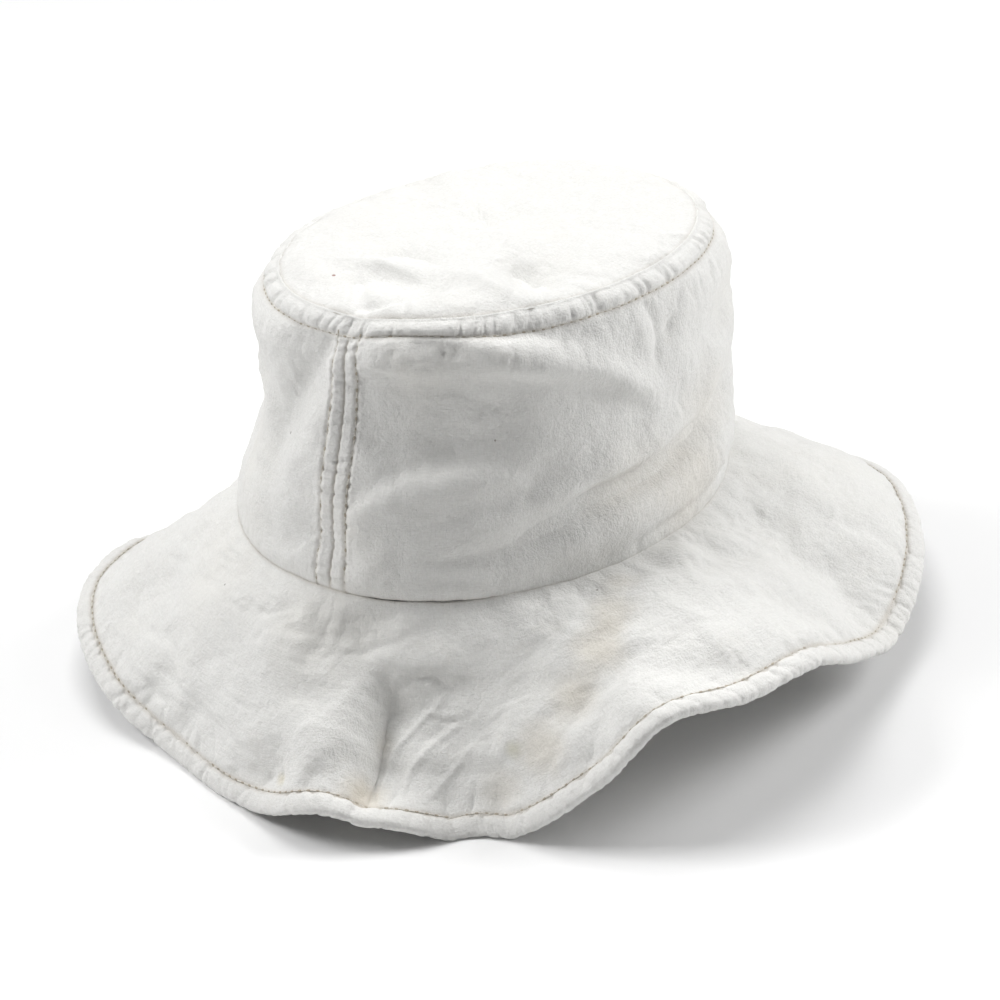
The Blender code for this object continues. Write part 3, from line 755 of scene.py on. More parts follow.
# kind, height in mm, width in mm, and the line as bearing, share
BRIM_FOLDS = (
    ("crease", 0.5, 1.4, ((109.5, 0.56), (109.5, 0.70), (109, 0.95))),
    ("ridge", 1.0, 1.0, ((121, 0.38), (117, 0.50), (114.3, 0.63), (112.8, 0.78), (112.3, 0.93))),
    ("ridge", 0.8, 0.9, ((124.5, 0.46), (119.5, 0.58), (116.3, 0.72), (114.6, 0.88))),
    ("ridge", 0.6, 0.9, ((127, 0.56), (121.5, 0.70), (118, 0.85))),
    ("crease", 0.6, 1.1, ((111.5, 0.62), (111, 0.78), (111, 0.93))),
    ("crease", 1.8, 7.0, ((124, 0.36), (118, 0.43), (113, 0.52))),
    ("crease", 1.1, 2.2, ((122, 0.36), (118.5, 0.31), (115, 0.335), (111.5, 0.42))),
    ("ridge", 0.8, 4.0, ((107, 0.60), (104, 0.72), (102, 0.86))),
    ("ridge", 0.5, 2.2, ((106, 0.38), (104, 0.51), (100, 0.67))),
    ("crease", 0.5, 1.8, ((94, 0.17), (101, 0.135), (107, 0.11), (114, 0.05))),
    ("crease", 0.6, 1.8, ((98, 0.29), (106, 0.25), (112, 0.18), (120, 0.08))),
    ("crease", 0.4, 1.6, ((89, 0.24), (98, 0.20), (106, 0.17))),
    ("crease", 0.8, 1.7, ((76, 0.26), (84, 0.22), (92, 0.15))),
    ("crease", 0.7, 1.6, ((62, 0.84), (70, 0.80), (78, 0.83))),
    ("crease", 0.5, 1.5, ((56, 0.86), (64, 0.90), (72, 0.88))),
    ("crease", 0.6, 1.6, ((66, 0.74), (74, 0.70), (84, 0.72))),
    ("ridge", 2.0, 8.0, ((152, 0.06), (136, 0.12), (128, 0.17), (120, 0.24), (112, 0.35), (105, 0.47))),
    ("crease", 1.0, 3.2, ((169, 0.05), (157, 0.24), (148, 0.45), (143, 0.58), (137, 0.73), (133, 0.86))),
    ("crease", 1.2, 1.8, ((42, 0.72), (45, 0.79), (48, 0.88))),
    ("crease", 1.0, 1.3, ((96.5, 0.83), (98.5, 0.90), (98, 0.96))),
    ("crease", 0.8, 1.4, ((86, 0.70), (91, 0.76), (95, 0.77))),
    ("crease", 0.5, 1.8, ((46, 0.56), (54, 0.40), (61, 0.26))),
    ("crease", 0.4, 1.6, ((62, 0.30), (70, 0.26), (78, 0.25))),
    ("crease", 0.5, 2.0, ((56, 0.70), (66, 0.62), (78, 0.58))),
    ("crease", 0.5, 2.2, ((70, 0.82), (82, 0.74), (92, 0.70))),
    ("ridge", 0.8, 5.0, ((162, 0.30), (163, 0.60), (162, 0.88))),
    ("ridge", 0.7, 4.0, ((179, 0.20), (178, 0.58), (178, 0.94))),
    ("crease", 0.5, 2.0, ((184, 0.55), (186, 0.76), (186, 0.92))),
    ("crease", 0.5, 2.2, ((238, 0.12), (233, 0.30), (230, 0.46))),
    ("crease", 0.5, 2.0, ((222, 0.06), (218, 0.18), (214, 0.32))),
    ("crease", 0.5, 1.8, ((204, 0.70), (206, 0.82), (206, 0.94))),
    ("crease", 0.6, 2.2, ((262, 0.40), (268, 0.62), (272, 0.86))),
    ("crease", 0.6, 2.2, ((296, 0.30), (290, 0.54), (287, 0.80))),
    ("crease", 0.6, 2.2, ((322, 0.42), (328, 0.62), (331, 0.88))),
    ("crease", 0.5, 2.0, ((358, 0.36), (6, 0.56), (12, 0.80))),
    ("crease", 0.5, 2.0, ((18, 0.20), (26, 0.36), (30, 0.56))),
)

# %% Walking out from the seam
BRIM_COLUMNS, BRIM_ROWS, BRIM_LINING_ROWS, STEPS = 840, 96, 18, 160
fine = np.linspace(0, 360, 7201)
crowd = 0.8 + 1.3 * hump(turned(fine + SIDE_SEAM, 112), 14)
crowd += 0.6 * np.exp(-((turned(fine + SIDE_SEAM, 130) / 80) ** 4))
reach = reach_of(crowd)
brim_bearings = SIDE_SEAM + np.interp(np.arange(BRIM_COLUMNS) / BRIM_COLUMNS * reach[-1], reach, fine)
apart = np.diff(brim_bearings)
print("brim columns stand", round(apart.min(), 2), "to", round(apart.max(), 2), "degrees apart")


def brim_walk(columns):
    """The middle of the brim's cloth, a ring for every step outwards."""
    at = [fold[1] for fold in FOLDS]
    falls = [around(at, [fold[k] for fold in FOLDS])(columns) for k in (2, 3, 4, 5)]
    fall_in, fall_out, lean, width = falls
    stride = ((BRIM_WIDTH * width + CLOTH / 2) / STEPS)[:, None]
    cos, sin = np.cos(np.radians(columns)), np.sin(np.radians(columns))
    radius = oval(SEAM_LONG, SEAM_SHORT, -CLOTH / 2, columns)
    tilt = SEAM_TILT[0] * radius * cos + SEAM_TILT[1] * radius * sin
    start = np.stack([radius * cos, radius * sin, tilt - GAP - CLOTH / 2], -1)
    heading = np.arctan2(sin / (SEAM_LONG / 2) ** 2, cos / (SEAM_SHORT / 2) ** 2)
    walked = [start]
    for k in range(STEPS):
        share = (k + 0.5) / STEPS
        fall = np.radians(fall_in + (fall_out - fall_in) * share)
        way = heading + np.radians(lean) * share
        ahead = np.stack([np.cos(fall) * np.cos(way), np.cos(fall) * np.sin(way), -np.sin(fall)], -1)
        walked.append(walked[-1] + ahead * stride)
    walked = np.array(walked)
    slant = np.radians(fall_out)
    under = walked[-1, :, 2] - (CLOTH / 2 + GAP + STRIP_CLOTH) * np.cos(slant)
    under = under - (GAP + STRIP_CLOTH) * np.sin(slant)
    push = np.maximum(under.min() + SETTLE - under, 0)
    walked[:, :, 2] += push * np.linspace(0, 1, STEPS + 1)[:, None] ** 2
    return walked


walked = brim_walk(brim_bearings)
LAST = 1 - (STRIP_CLOTH + GAP) / BRIM_WIDTH
brim_shares = np.linspace(0, LAST, BRIM_ROWS)
core = []
for share in brim_shares:
    step, past = int(share * STEPS), share * STEPS % 1
    core.append(walked[step] * (1 - past) + walked[min(step + 1, STEPS)] * past)
core = np.array(core)

# %% The deep fold at the front, and the buckles of the brim
# It is a little narrower towards the crown, and its left wall is the steep one.
VALLEY_AT = 110.5
VALLEY_DEPTH, BANK_HEIGHT = 14.5 * MM, 4.5 * MM
LEFT_WALL, RIGHT_WALL = 11 * MM, 20 * MM
B, H = np.meshgrid(brim_bearings, brim_shares)
across = np.radians(turned(B, VALLEY_AT + 1.5 * (1 - H))) * np.linalg.norm(core[..., :2], axis=-1)
side = np.where(across < 0, LEFT_WALL, RIGHT_WALL) * (0.45 + 0.55 * H)
head = np.sin(np.clip((H - 0.25) / 0.40, 0, 1) * math.pi / 2) ** 1.6
mouth = 1 - 0.46 * np.clip((H - 0.72) / 0.25, 0, 1)
steep = np.where(across < 0, 1.9, 1.5)
valley = -VALLEY_DEPTH * groove(across, side, steep) * head * mouth
bank = BANK_HEIGHT * hump(across + 18 * MM, 10 * MM) * head * np.clip((1.1 - H) / 0.4, 0, 1)
core = core - slopes(core) * (valley + bank)[..., None]
sewn_rows = brim_shares <= 1 - STRIP_REACH / BRIM_WIDTH + 0.006
free = core[sewn_rows]
free_shares = brim_shares[sewn_rows] / brim_shares[sewn_rows][-1]
core[sewn_rows] += buckled("brim", free, brim_bearings, free_shares, 22, 210, 0.018, 2.4 * MM, 107)
print("brim lowest point in mm:", round((core[..., 2].min() + MIDDLE[2]) / MM, 2))

# %% Folds of the brim
BRIM_GIRTH = 0.78
turn = (B - SIDE_SEAM) / 360.0
out_way = H * BRIM_WIDTH
rounds = np.linalg.norm(core[..., :2], axis=-1)


def brim_place(line):
    """The brim unrolled from the middle of a line, and the line's points."""
    turns = [b for b, _ in line]
    middle = sum(turns) / len(turns) if max(turns) - min(turns) < 180 else 0
    points = [(np.radians(turned(b, middle)) * rounds, h * BRIM_WIDTH) for b, h in line]
    return np.radians(turned(B, middle)) * rounds, out_way, points


relief = drawn(BRIM_FOLDS, brim_place)
quiet = 0.5 + 0.9 * np.clip(billow(turn * 16, H * 3, 16, 61), -0.35, 1)
wide_waves = 1.6 * MM * billow(turn * 22, out_way / (30 * MM), 22, 62)
relief += wide_waves + 0.9 * MM * billow(turn * 47, out_way / (15 * MM), 47, 64)
relief += 1.2 * MM * crumple(turn, out_way, BRIM_GIRTH, 24 * MM, 0.9, 63) * quiet
relief += 0.75 * MM * crumple(turn, out_way, BRIM_GIRTH, 8 * MM, 2.0, 67) * quiet
relief += 0.28 * MM * crumple(turn, out_way, BRIM_GIRTH, 3.4 * MM, 1.6, 71)
print("brim's folds in mm:", np.round([relief.min() / MM, relief.max() / MM], 1))

# %% Gathers beside the brim's two seams
SEAM_RADIUS = 0.095
EDGE_RADIUS = 0.150
near_seam = puckers(
    np.radians(B) * SEAM_RADIUS, out_way, 2 * math.pi * SEAM_RADIUS, (5, 15), 1.4, 0.2, 0.7, 73
)
relief += near_seam * hump(out_way - 3 * MM, 5 * MM)
inwards = BRIM_WIDTH - STRIP_REACH - out_way
near_edge = puckers(
    np.radians(B) * EDGE_RADIUS, inwards, 2 * math.pi * EDGE_RADIUS, (4, 11), 1.5, 1.3, 0.7, 79
)
relief *= np.clip(inwards / (5 * MM), 0, 1) ** 0.7
relief += near_edge * hump(inwards - 3 * MM, 6 * MM) * np.clip(inwards / (1.5 * MM), 0, 1)
calm = np.clip(out_way / (9 * MM), 0, 1)
relief = relief * calm + 0.55 * MM * np.exp(-out_way / (2.2 * MM))
beneath = np.clip((-inwards - 0.6 * MM) / (1.5 * MM), 0, 1)
relief = relief * (1 - beneath) - 0.5 * MM * beneath
relief -= 0.55 * MM * groove(inwards, 1.3 * MM)
print("brim relief in mm:", np.round([relief.min() / MM, relief.max() / MM], 1))

# %% The brim's mesh
LOWEST_BRIM = 0.6 * MM
BRIM_RADIUS = 0.124
square = -slopes(core)
brim_core = core
brim_out = core + square * (CLOTH / 2 + relief)[..., None] + MIDDLE
low_relief = np.where(inwards > 0, relief * 0.8, 0)
lining = core - square * (CLOTH / 2 - low_relief)[..., None] + MIDDLE
rows = thinned(BRIM_ROWS, BRIM_LINING_ROWS)
rings = np.concatenate([brim_out, lining[rows]])
rings[..., 2] = np.maximum(rings[..., 2], LOWEST_BRIM)
tall = np.concatenate([out_way[:, 0], LINING_ASIDE - out_way[rows, 0]])
flat = cut_cloth(np.radians(closed(brim_bearings) - SIDE_SEAM) * BRIM_RADIUS, tall)
# Brown dirt and painted shade along the groove at the strip's inner edge and at the foot of the crown.
dirt_and_shade = hump(inwards, 1.1 * MM) + 0.8 * hump(out_way, 0.8 * MM)
dirt_and_shade = np.concatenate([dirt_and_shade, np.zeros((len(rows), BRIM_COLUMNS))])
brim = woven("brim_cotton", rings, flat, dirt_and_shade)

# %% [markdown]
# ## The strip on the brim's edge
#
# A thin strip is folded over the raw edge and stitched through all the cloth.
# The stitches pull it tight at one line, and the fold swells beyond them like a
# soft tube, with small slanting wrinkles. Its section is swept round the edge
# in code, because the section has to tilt with the brim at every place.

# %% The strip's section, carried round the brim
STRIP_COLUMNS = 1560
strip_bearings = SIDE_SEAM + np.arange(STRIP_COLUMNS) * 360.0 / STRIP_COLUMNS


def resample(ring):
    """A ring of the brim's points, at the strip's own bearings."""
    looped = np.concatenate([ring, ring[:1]])
    wide = closed(brim_bearings)
    return np.stack([np.interp(strip_bearings, wide, looped[:, k]) for k in range(3)], -1)


edge = resample(brim_core[-1])
out = unit(edge - resample(brim_core[int(BRIM_ROWS * 0.9)]))
lift = unit(np.cross(out, np.roll(edge, -1, 0) - np.roll(edge, 1, 0)))
if lift[:, 2].mean() < 0:
    lift = -lift
way = np.concatenate([[0], np.cumsum(np.linalg.norm(np.diff(edge, axis=0), axis=1))])
way_total = way[-1] + np.linalg.norm(edge[0] - edge[-1])
print("brim edge in mm:", round(way_total / MM))

# %% The strip's mesh
# place out from the brim's edge, and height above its middle, in mm
TOP_HALF = (
    (-6.7, 0.30), (-6.5, 0.90), (-6.05, 1.40), (-5.3, 1.90), (-4.2, 2.35), (-2.8, 2.65),
    (-1.2, 2.70), (0.2, 2.40), (1.15, 1.70), (1.62, 0.75),
)
UNDER = [(x, -0.92 * z) for x, z in reversed(TOP_HALF)]
section = list(TOP_HALF) + UNDER
SECTION_MIDDLE, SECTION_WIDE, SECTION_TALL = -2.4, 4.2, 2.9
back = [(-6.2, -0.2), (-3.0, -1.3), (0.1, -1.2), (0.35, 0.0), (0.1, 1.2), (-3.0, 1.3), (-6.2, 0.2)]
rings = []
for k, (x, z) in enumerate(section + back):
    swelling = 0.0
    if k < len(section):
        full = max(0.0, 1 - abs(x + 2.2) / 4.4) if abs(z) > 1.4 else 0.7
        x_way = np.full(STRIP_COLUMNS, x * MM) * (1 if z > 0 else -1)
        swelling = puckers(way, x_way, way_total, (2.0, 5.5), 0.8, 0.95, 0.9, 83)
        swelling = swelling + puckers(way, x_way, way_total, (9, 26), 1.4, 1.0, 0.8, 89)
        swelling = swelling * min(1.0, full + 0.3)
    push = (x - SECTION_MIDDLE) / SECTION_WIDE, z / SECTION_TALL
    size = math.hypot(*push)
    shift_x = x * MM + swelling * push[0] / size
    shift_z = z * MM + swelling * push[1] / size
    rings.append(edge + out * np.reshape(shift_x, (-1, 1)) + lift * np.reshape(shift_z, (-1, 1)) + MIDDLE)
rings = np.array(rings)
rings[..., 2] = np.maximum(rings[..., 2], 0.0)
tall = np.concatenate([[0], np.cumsum(np.hypot(*np.diff(np.array(section + back), axis=0).T))]) * MM
flat = cut_cloth(np.append(way, way_total), tall)
# Brown dirt and painted shade where the strip's inner edge meets the brim.
dirt_and_shade = np.array([math.exp(-((x + 6.8) / 0.8) ** 2) for x, _ in section] + [0] * len(back))
strip = woven("brim_edge_strip", rings, flat, np.repeat(dirt_and_shade[:, None], STRIP_COLUMNS, 1))
print("hat box in mm:", [round(v / MM, 1) for v in np.ptp(rings.reshape(-1, 3), axis=0)])

# %% [markdown]
# ## A small language for nodes
#
# Shader maths reads best as a formula. One class wraps a socket and knows the
# four rules of arithmetic, and another adds any other node: it takes the
# node's type, then its settings, then the values or links of its sockets.

# %% Sockets that can be added and multiplied
class Value:
    """A socket that reads as a number in a formula."""

    def __init__(self, loom, socket):
        self.loom = loom
        self.socket = socket

    def maths(self, operation, first, second=0.0):
        return self.loom.node("ShaderNodeMath", {"operation": operation}, {0: first, 1: second})

    def __add__(self, other):
        return self.maths("ADD", self, other)

    def __sub__(self, other):
        return self.maths("SUBTRACT", self, other)

    def __rsub__(self, other):
        return self.maths("SUBTRACT", other, self)

    def __mul__(self, other):
        return self.maths("MULTIPLY", self, other)

    def __truediv__(self, other):
        return self.maths("DIVIDE", self, other)

    __radd__ = __add__
    __rmul__ = __mul__

    def limited(self):
        """The value, kept between 0 and 1."""
        return self.loom.node("ShaderNodeClamp", {}, {"Value": self})

    def spread(self, low, high):
        """0 at low and 1 at high, with soft ends."""
        settings = {"interpolation_type": "SMOOTHSTEP"}
        return self.loom.node("ShaderNodeMapRange", settings, {"Value": self, 1: low, 2: high})


class Loom:
    """Adds nodes to one tree."""

    def __init__(self, tree):
        self.tree = tree

    def fill(self, node, sockets):
        """Give a node's sockets their values or links."""
        for name, value in sockets.items():
            if isinstance(value, Value):
                self.tree.links.new(value.socket, node.inputs[name])
            else:
                node.inputs[name].default_value = value

    def node(self, kind, settings, sockets, out=0):
        """A new node, and its output that is asked for."""
        node = self.tree.nodes.new(kind)
        for name, setting in settings.items():
            setattr(node, name, setting)
        self.fill(node, sockets)
        return Value(self, node.outputs[out])

    def mix(self, share, first, second, blend="MIX"):
        settings = {"data_type": "RGBA", "blend_type": blend}
        return self.node("ShaderNodeMix", settings, {0: share, 6: first, 7: second}, 2)

    def noise(self, place, scale, detail=3.0, rough=0.55):
        sockets = {"Vector": place, "Scale": scale, "Detail": detail, "Roughness": rough}
        return self.node("ShaderNodeTexNoise", {}, sockets)

    def distance(self, place, at):
        settings = {"operation": "DISTANCE"}
        return self.node("ShaderNodeVectorMath", settings, {0: place, 1: at}, 1)


def new_finish(name):
    """A new material, the loom for its tree, and its shader."""
    material = bpy.data.materials.new(name)
    material.use_nodes = True
    return material, Loom(material.node_tree), material.node_tree.nodes["Principled BSDF"]


# %% [markdown]
# ## The cotton
#
# The cloth is brushed cotton of an off-white that is a little warm. Close to,
# it shows threads both ways, and slubs: threads that are thicker for a few
# millimetres, which give it a heathered look. Both follow the cut cloth, so the
# pattern reads the UV map, whose unit is the metre. Brown dirt and painted shade
# sit in the stitched grooves, where each mesh carries a mark, painted shade also
# darkens some folds and the brim's front valley, and wide faint tints come and go.

# %% The cotton finish
OFF_WHITE = (0.845, 0.84, 0.82)
STRIP_WHITE = (0.845, 0.838, 0.818)
# Brown for the seam grooves: dirt, and painted shade in the grooves.
DIRT_AND_SHADE_BROWN = (0.64, 0.575, 0.50)
# BROWN is painted shade along the brim's right shadow band and in the front valley, with some stain in the
# valley.
BROWN = (0.86, 0.79, 0.68)
OLIVE = (0.72, 0.70, 0.56)
YELLOW = (0.95, 0.88, 0.68)
# WARM_GREY darkens a wide patch low on the side panel; FAINT_GREY is painted shade along the side panel's
# low crease.
WARM_GREY = (0.94, 0.88, 0.80)
FAINT_GREY = (0.94, 0.89, 0.82)
DARK_GREY = (0.28, 0.25, 0.22)


def shaded(tint, red, green, blue):
    """The cotton's tint, multiplied and made a colour with its alpha."""
    return (tint[0] * red, tint[1] * green, tint[2] * blue, 1)


def cotton(name, tint, dirt_and_shade_strength, stains_and_shade=(), specks=()):
    """A cotton finish. stains and specks are each a place, a reach and a hue, and
    a stain has its strength too. Some entries of the first are painted shade on folds."""
    material, loom, shader = new_finish(name)
    flat = loom.node("ShaderNodeUVMap", {"uv_map": "cloth"}, {})
    place = loom.node("ShaderNodeTexCoord", {}, {}, 3)

    def stretched(x, y):
        settings = {"operation": "MULTIPLY"}
        return loom.node("ShaderNodeVectorMath", settings, {0: flat, 1: (x, y, 1.0)})

    warp = loom.noise(stretched(2400, 260), 1.0, 2.0)
    weft = loom.noise(stretched(240, 2200), 1.0, 2.0)
    nap = loom.noise(place, 1500.0, 4.0, 0.6)
    pile = loom.noise(place, 900.0, 3.0, 0.65)
    fuzz = loom.noise(place, 1000.0, 4.0, 0.7)
    slubs = loom.noise(place, 260.0, 3.0, 0.6)
    cloud = loom.noise(place, 45.0, 4.0, 0.6)
    wide = loom.noise(place, 14.0, 3.0, 0.5)
    threads = (warp + weft) * 0.5
    grain = threads * 0.65 + nap * 0.35

    colour = loom.mix(grain.spread(0.64, 0.36), (*tint, 1), shaded(tint, 0.90, 0.90, 0.89))
    colour = loom.mix(pile.spread(0.42, 0.70) * 0.55, colour, shaded(tint, 0.86, 0.86, 0.855))
    colour = loom.mix(cloud.spread(0.55, 0.80) * 0.25, colour, shaded(tint, 0.93, 0.91, 0.86))
    colour = loom.mix(wide.spread(0.50, 0.80) * 0.35, colour, shaded(tint, 0.97, 0.95, 0.90))
    # Each entry multiplies in its hue; some are stain marks, some are painted shade on folds.
    for at, reach, strength, hue in stains_and_shade:
        mask = (loom.distance(place, at) / reach + (cloud - 0.5) * 0.9).spread(1.0, 0.1) * strength
        colour = loom.mix(mask, colour, (*hue, 1), "MULTIPLY")
    for at, reach, hue in specks:
        mask = (loom.distance(place, at) / reach).spread(1.0, 0.45) * 0.85
        colour = loom.mix(mask, colour, (*hue, 1))
    # The mark multiplies in brown: dirt, and painted shade in the seam grooves.
    mark = loom.node("ShaderNodeAttribute", {"attribute_name": "dirt_and_shade"}, {}, 2)
    dirt_and_shade_mask = (mark * (0.35 + cloud)).limited() * dirt_and_shade_strength
    colour = loom.mix(dirt_and_shade_mask, colour, (*DIRT_AND_SHADE_BROWN, 1), "MULTIPLY")

    height = threads * 0.6 + nap * 0.6 + fuzz * 1.0 + slubs * 1.5
    loom.fill(shader, {
        "Base Color": colour,
        "Roughness": 0.86 + grain * 0.12,
        "Normal": loom.node("ShaderNodeBump", {}, {"Strength": 0.7, "Distance": 0.0006, "Height": height}),
        "Sheen Weight": 0.25,
        "Sheen Roughness": 0.6,
        "Specular IOR Level": 0.25,
    })
    print(f"{name}: {len(stains_and_shade)} stains, {len(specks)} specks, {len(material.node_tree.nodes)} nodes")
    return material


def thread_finish(name, hue):
    """A finish for twisted thread, lighter and darker along its plies."""
    material, loom, shader = new_finish(name)
    twist = loom.noise(loom.node("ShaderNodeTexCoord", {}, {}, 3), 2600.0, 2.0, 0.5)
    darker = [value * 0.8 for value in hue]
    colour = loom.mix(twist.spread(0.35, 0.65), (*hue, 1), (*darker, 1))
    loom.fill(shader, {"Base Color": colour, "Roughness": 0.75})
    return material


# %% Stains, painted shade, specks and the finishes of the four cloths
GRIDS = {
    "side": (side_out, bearings, shares),
    "top": (top_out, top_bearings, top_shares),
    "brim": (brim_out, brim_bearings, brim_shares),
}
# cloth, bearing, share, reach in mm, a stain's strength, and hue
# The two faint darkenings at bearings 170 and 202 are painted shade along the side panel's low crease; the
# one at bearing 190 darkens a wide warm patch low on the right.
CROWN_TINTS_AND_SHADE = (
    ("side", 190, 0.12, 30, 0.40, WARM_GREY),
    ("side", 170, 0.30, 26, 0.34, FAINT_GREY),
    ("side", 202, 0.40, 24, 0.30, FAINT_GREY),
)
CROWN_SPECKS = (
    ("side", 80, 0.50, 0.7, (0.25, 0.22, 0.20)),
    ("top", 76, 0.80, 0.9, (0.28, 0.10, 0.07)),
    ("side", 132, 0.56, 0.5, (0.35, 0.32, 0.28)),
)
# The brown chain from bearing 159 to 128 is painted shade along the brim's right shadow band; the two brown
# patches in the front valley, at bearings 109 and 112, are painted shade with some stain; the olive spot and
# the yellow spot are stain marks.
BRIM_STAINS_AND_SHADE = (
    ("brim", 131, 0.65, 5, 0.60, OLIVE),
    ("brim", 159, 0.14, 11, 0.30, BROWN),
    ("brim", 153, 0.28, 13, 0.42, BROWN),
    ("brim", 147, 0.42, 15, 0.50, BROWN),
    ("brim", 141, 0.55, 15, 0.50, BROWN),
    ("brim", 135, 0.70, 15, 0.42, BROWN),
    ("brim", 128, 0.80, 12, 0.28, BROWN),
    ("brim", 99, 0.84, 4, 0.50, YELLOW),
    ("brim", 109, 0.86, 13, 0.75, BROWN),
    ("brim", 112, 0.60, 8, 0.25, BROWN),
)
BRIM_SPECKS = (
    ("brim", 73, 0.21, 0.6, DARK_GREY),
    ("brim", 154, 0.12, 0.6, DARK_GREY),
)


def on_cloth(marks):
    """The same marks, each with its place in the scene and its reach in metres."""
    found = []
    for cloth, bearing, share, reach, *rest in marks:
        grid, columns, rows = GRIDS[cloth]
        at = [float(value) for value in spot(grid, bearing, share, columns, rows)]
        found.append((at, reach * MM, *rest))
    return found


crown_cotton = cotton("crown cotton", OFF_WHITE, 0.55, on_cloth(CROWN_TINTS_AND_SHADE), on_cloth(CROWN_SPECKS))
brim_finish = cotton("brim cotton", OFF_WHITE, 0.6, on_cloth(BRIM_STAINS_AND_SHADE), on_cloth(BRIM_SPECKS))
strip_finish = cotton("strip cotton", STRIP_WHITE, 0.6)
thread = thread_finish("sewing thread", (0.74, 0.71, 0.65))
# The holes are small dark pits: painted shade where the needle went through, with some dirt.
hole = thread_finish("needle hole shade", (0.47, 0.42, 0.34))
crown_side.data.materials.append(crown_cotton)
crown_top.data.materials.append(crown_cotton)
brim.data.materials.append(brim_finish)
strip.data.materials.append(strip_finish)

# %% [markdown]
# ## The stitches
#
# A sewing machine leaves the same short bow of thread every 3.6 mm, and a hole
# between two bows where the needle went in, drawn as a small dark pit: painted
# shade with some dirt. Geometry Nodes repeat both along a path: the path carries
# the cloth's direction at each point, so that every stitch lies on the cloth, and
# a seeded random turn makes them a little uneven.

# %% The tree that sews
STITCH_SIZES = {
    "Pitch": PITCH,
    "Bow": 2.4 * MM,
    "Thread": 0.5 * MM,
    "Height": 0.3 * MM,
    "Hole": 1.1 * MM,
}


def sewing_tree():
    """The tree, and the identifiers of its inputs by their names."""
    tree = bpy.data.node_groups.new("sewn row", "GeometryNodeTree")
    kinds = {"Path": "NodeSocketGeometry"}
    kinds.update({name: "NodeSocketFloat" for name in STITCH_SIZES})
    kinds["Seed"] = "NodeSocketInt"
    kinds["Thread Finish"] = kinds["Hole Shade Finish"] = "NodeSocketMaterial"
    ids = {}
    for name, kind in kinds.items():
        ids[name] = tree.interface.new_socket(name=name, in_out="INPUT", socket_type=kind).identifier
    tree.interface.new_socket(name="Stitches", in_out="OUTPUT", socket_type="NodeSocketGeometry")
    loom = Loom(tree)
    given = tree.nodes.new("NodeGroupInput")
    asked = {socket.name: Value(loom, socket) for socket in given.outputs if socket.name}

    def uneven(low, high, seed):
        sockets = {2: low, 3: high, "Seed": seed}
        return loom.node("FunctionNodeRandomValue", {"data_type": "FLOAT"}, sockets, 1)

    path = loom.node("GeometryNodeMeshToCurve", {}, {"Mesh": asked["Path"]})
    sockets = {"Curve": path, "Length": asked["Pitch"]}
    even = loom.node("GeometryNodeResampleCurve", {"mode": "LENGTH"}, sockets)
    tangent = loom.node("GeometryNodeInputTangent", {}, {})
    settings = {"data_type": "FLOAT_VECTOR"}
    square = loom.node("GeometryNodeInputNamedAttribute", settings, {"Name": "square"})
    aim = loom.node("FunctionNodeAlignRotationToVector", {"axis": "X"}, {"Vector": tangent})
    settings = {"axis": "Z", "pivot_axis": "X"}
    aim = loom.node("FunctionNodeAlignRotationToVector", settings, {"Rotation": aim, "Vector": square})
    wobble = uneven(-0.14, 0.14, asked["Seed"])
    swing = loom.node("FunctionNodeAxisAngleToRotation", {}, {"Axis": (0, 0, 1), "Angle": wobble})
    settings = {"rotation_space": "LOCAL"}
    swung = loom.node("FunctionNodeRotateRotation", settings, {"Rotation": aim, "Rotate By": swing})
    size = uneven(0.85, 1.1, asked["Seed"] + 3)

    def point(x, z):
        return loom.node("ShaderNodeCombineXYZ", {}, {"X": x, "Z": z})

    def repeated(points, shape, finish):
        """The shape on every point, as real mesh in its own finish."""
        sockets = {"Points": points, "Instance": shape, "Rotation": swung, "Scale": size}
        copies = loom.node("GeometryNodeInstanceOnPoints", {}, sockets)
        real = loom.node("GeometryNodeRealizeInstances", {}, {"Geometry": copies})
        return loom.node("GeometryNodeSetMaterial", {}, {"Geometry": real, "Material": asked[finish]})

    half = asked["Bow"] * 0.5
    down = asked["Height"] * -1.0
    sockets = {
        "Resolution": 6,
        "Start": point(half * -1.0, down),
        "Middle": point(0.0, asked["Height"] * 1.6),
        "End": point(half, down),
    }
    bow = loom.node("GeometryNodeCurveQuadraticBezier", {}, sockets)
    sockets = {"Resolution": 6, "Radius": asked["Thread"] * 0.5}
    ply = loom.node("GeometryNodeCurvePrimitiveCircle", {}, sockets)
    sockets = {"Curve": bow, "Profile Curve": ply, "Fill Caps": True}
    stitch = loom.node("GeometryNodeCurveToMesh", {}, sockets)
    sewn = repeated(even, stitch, "Thread Finish")

    # Halfway between stitches, a flat dark pit: painted shade where the needle went through.
    sockets = {0: tangent, "Scale": asked["Pitch"] * 0.5}
    step = loom.node("ShaderNodeVectorMath", {"operation": "SCALE"}, sockets)
    moved = loom.node("GeometryNodeSetPosition", {}, {"Geometry": even, "Offset": step})
    sockets = {"Segments": 8, "Rings": 5, "Radius": asked["Hole"] * 0.5}
    pit = loom.node("GeometryNodeMeshUVSphere", {}, sockets)
    pit = loom.node("GeometryNodeTransform", {}, {"Geometry": pit, "Scale": (1.5, 0.75, 0.30)})
    pits = repeated(moved, pit, "Hole Shade Finish")

    both = tree.nodes.new("GeometryNodeJoinGeometry")
    for part in (sewn, pits):
        tree.links.new(part.socket, both.inputs[0])
    given_back = tree.nodes.new("NodeGroupOutput")
    tree.links.new(both.outputs[0], given_back.inputs[0])
    print("sewn row:", len(tree.nodes), "nodes")
    return tree, ids


sewing, inputs = sewing_tree()

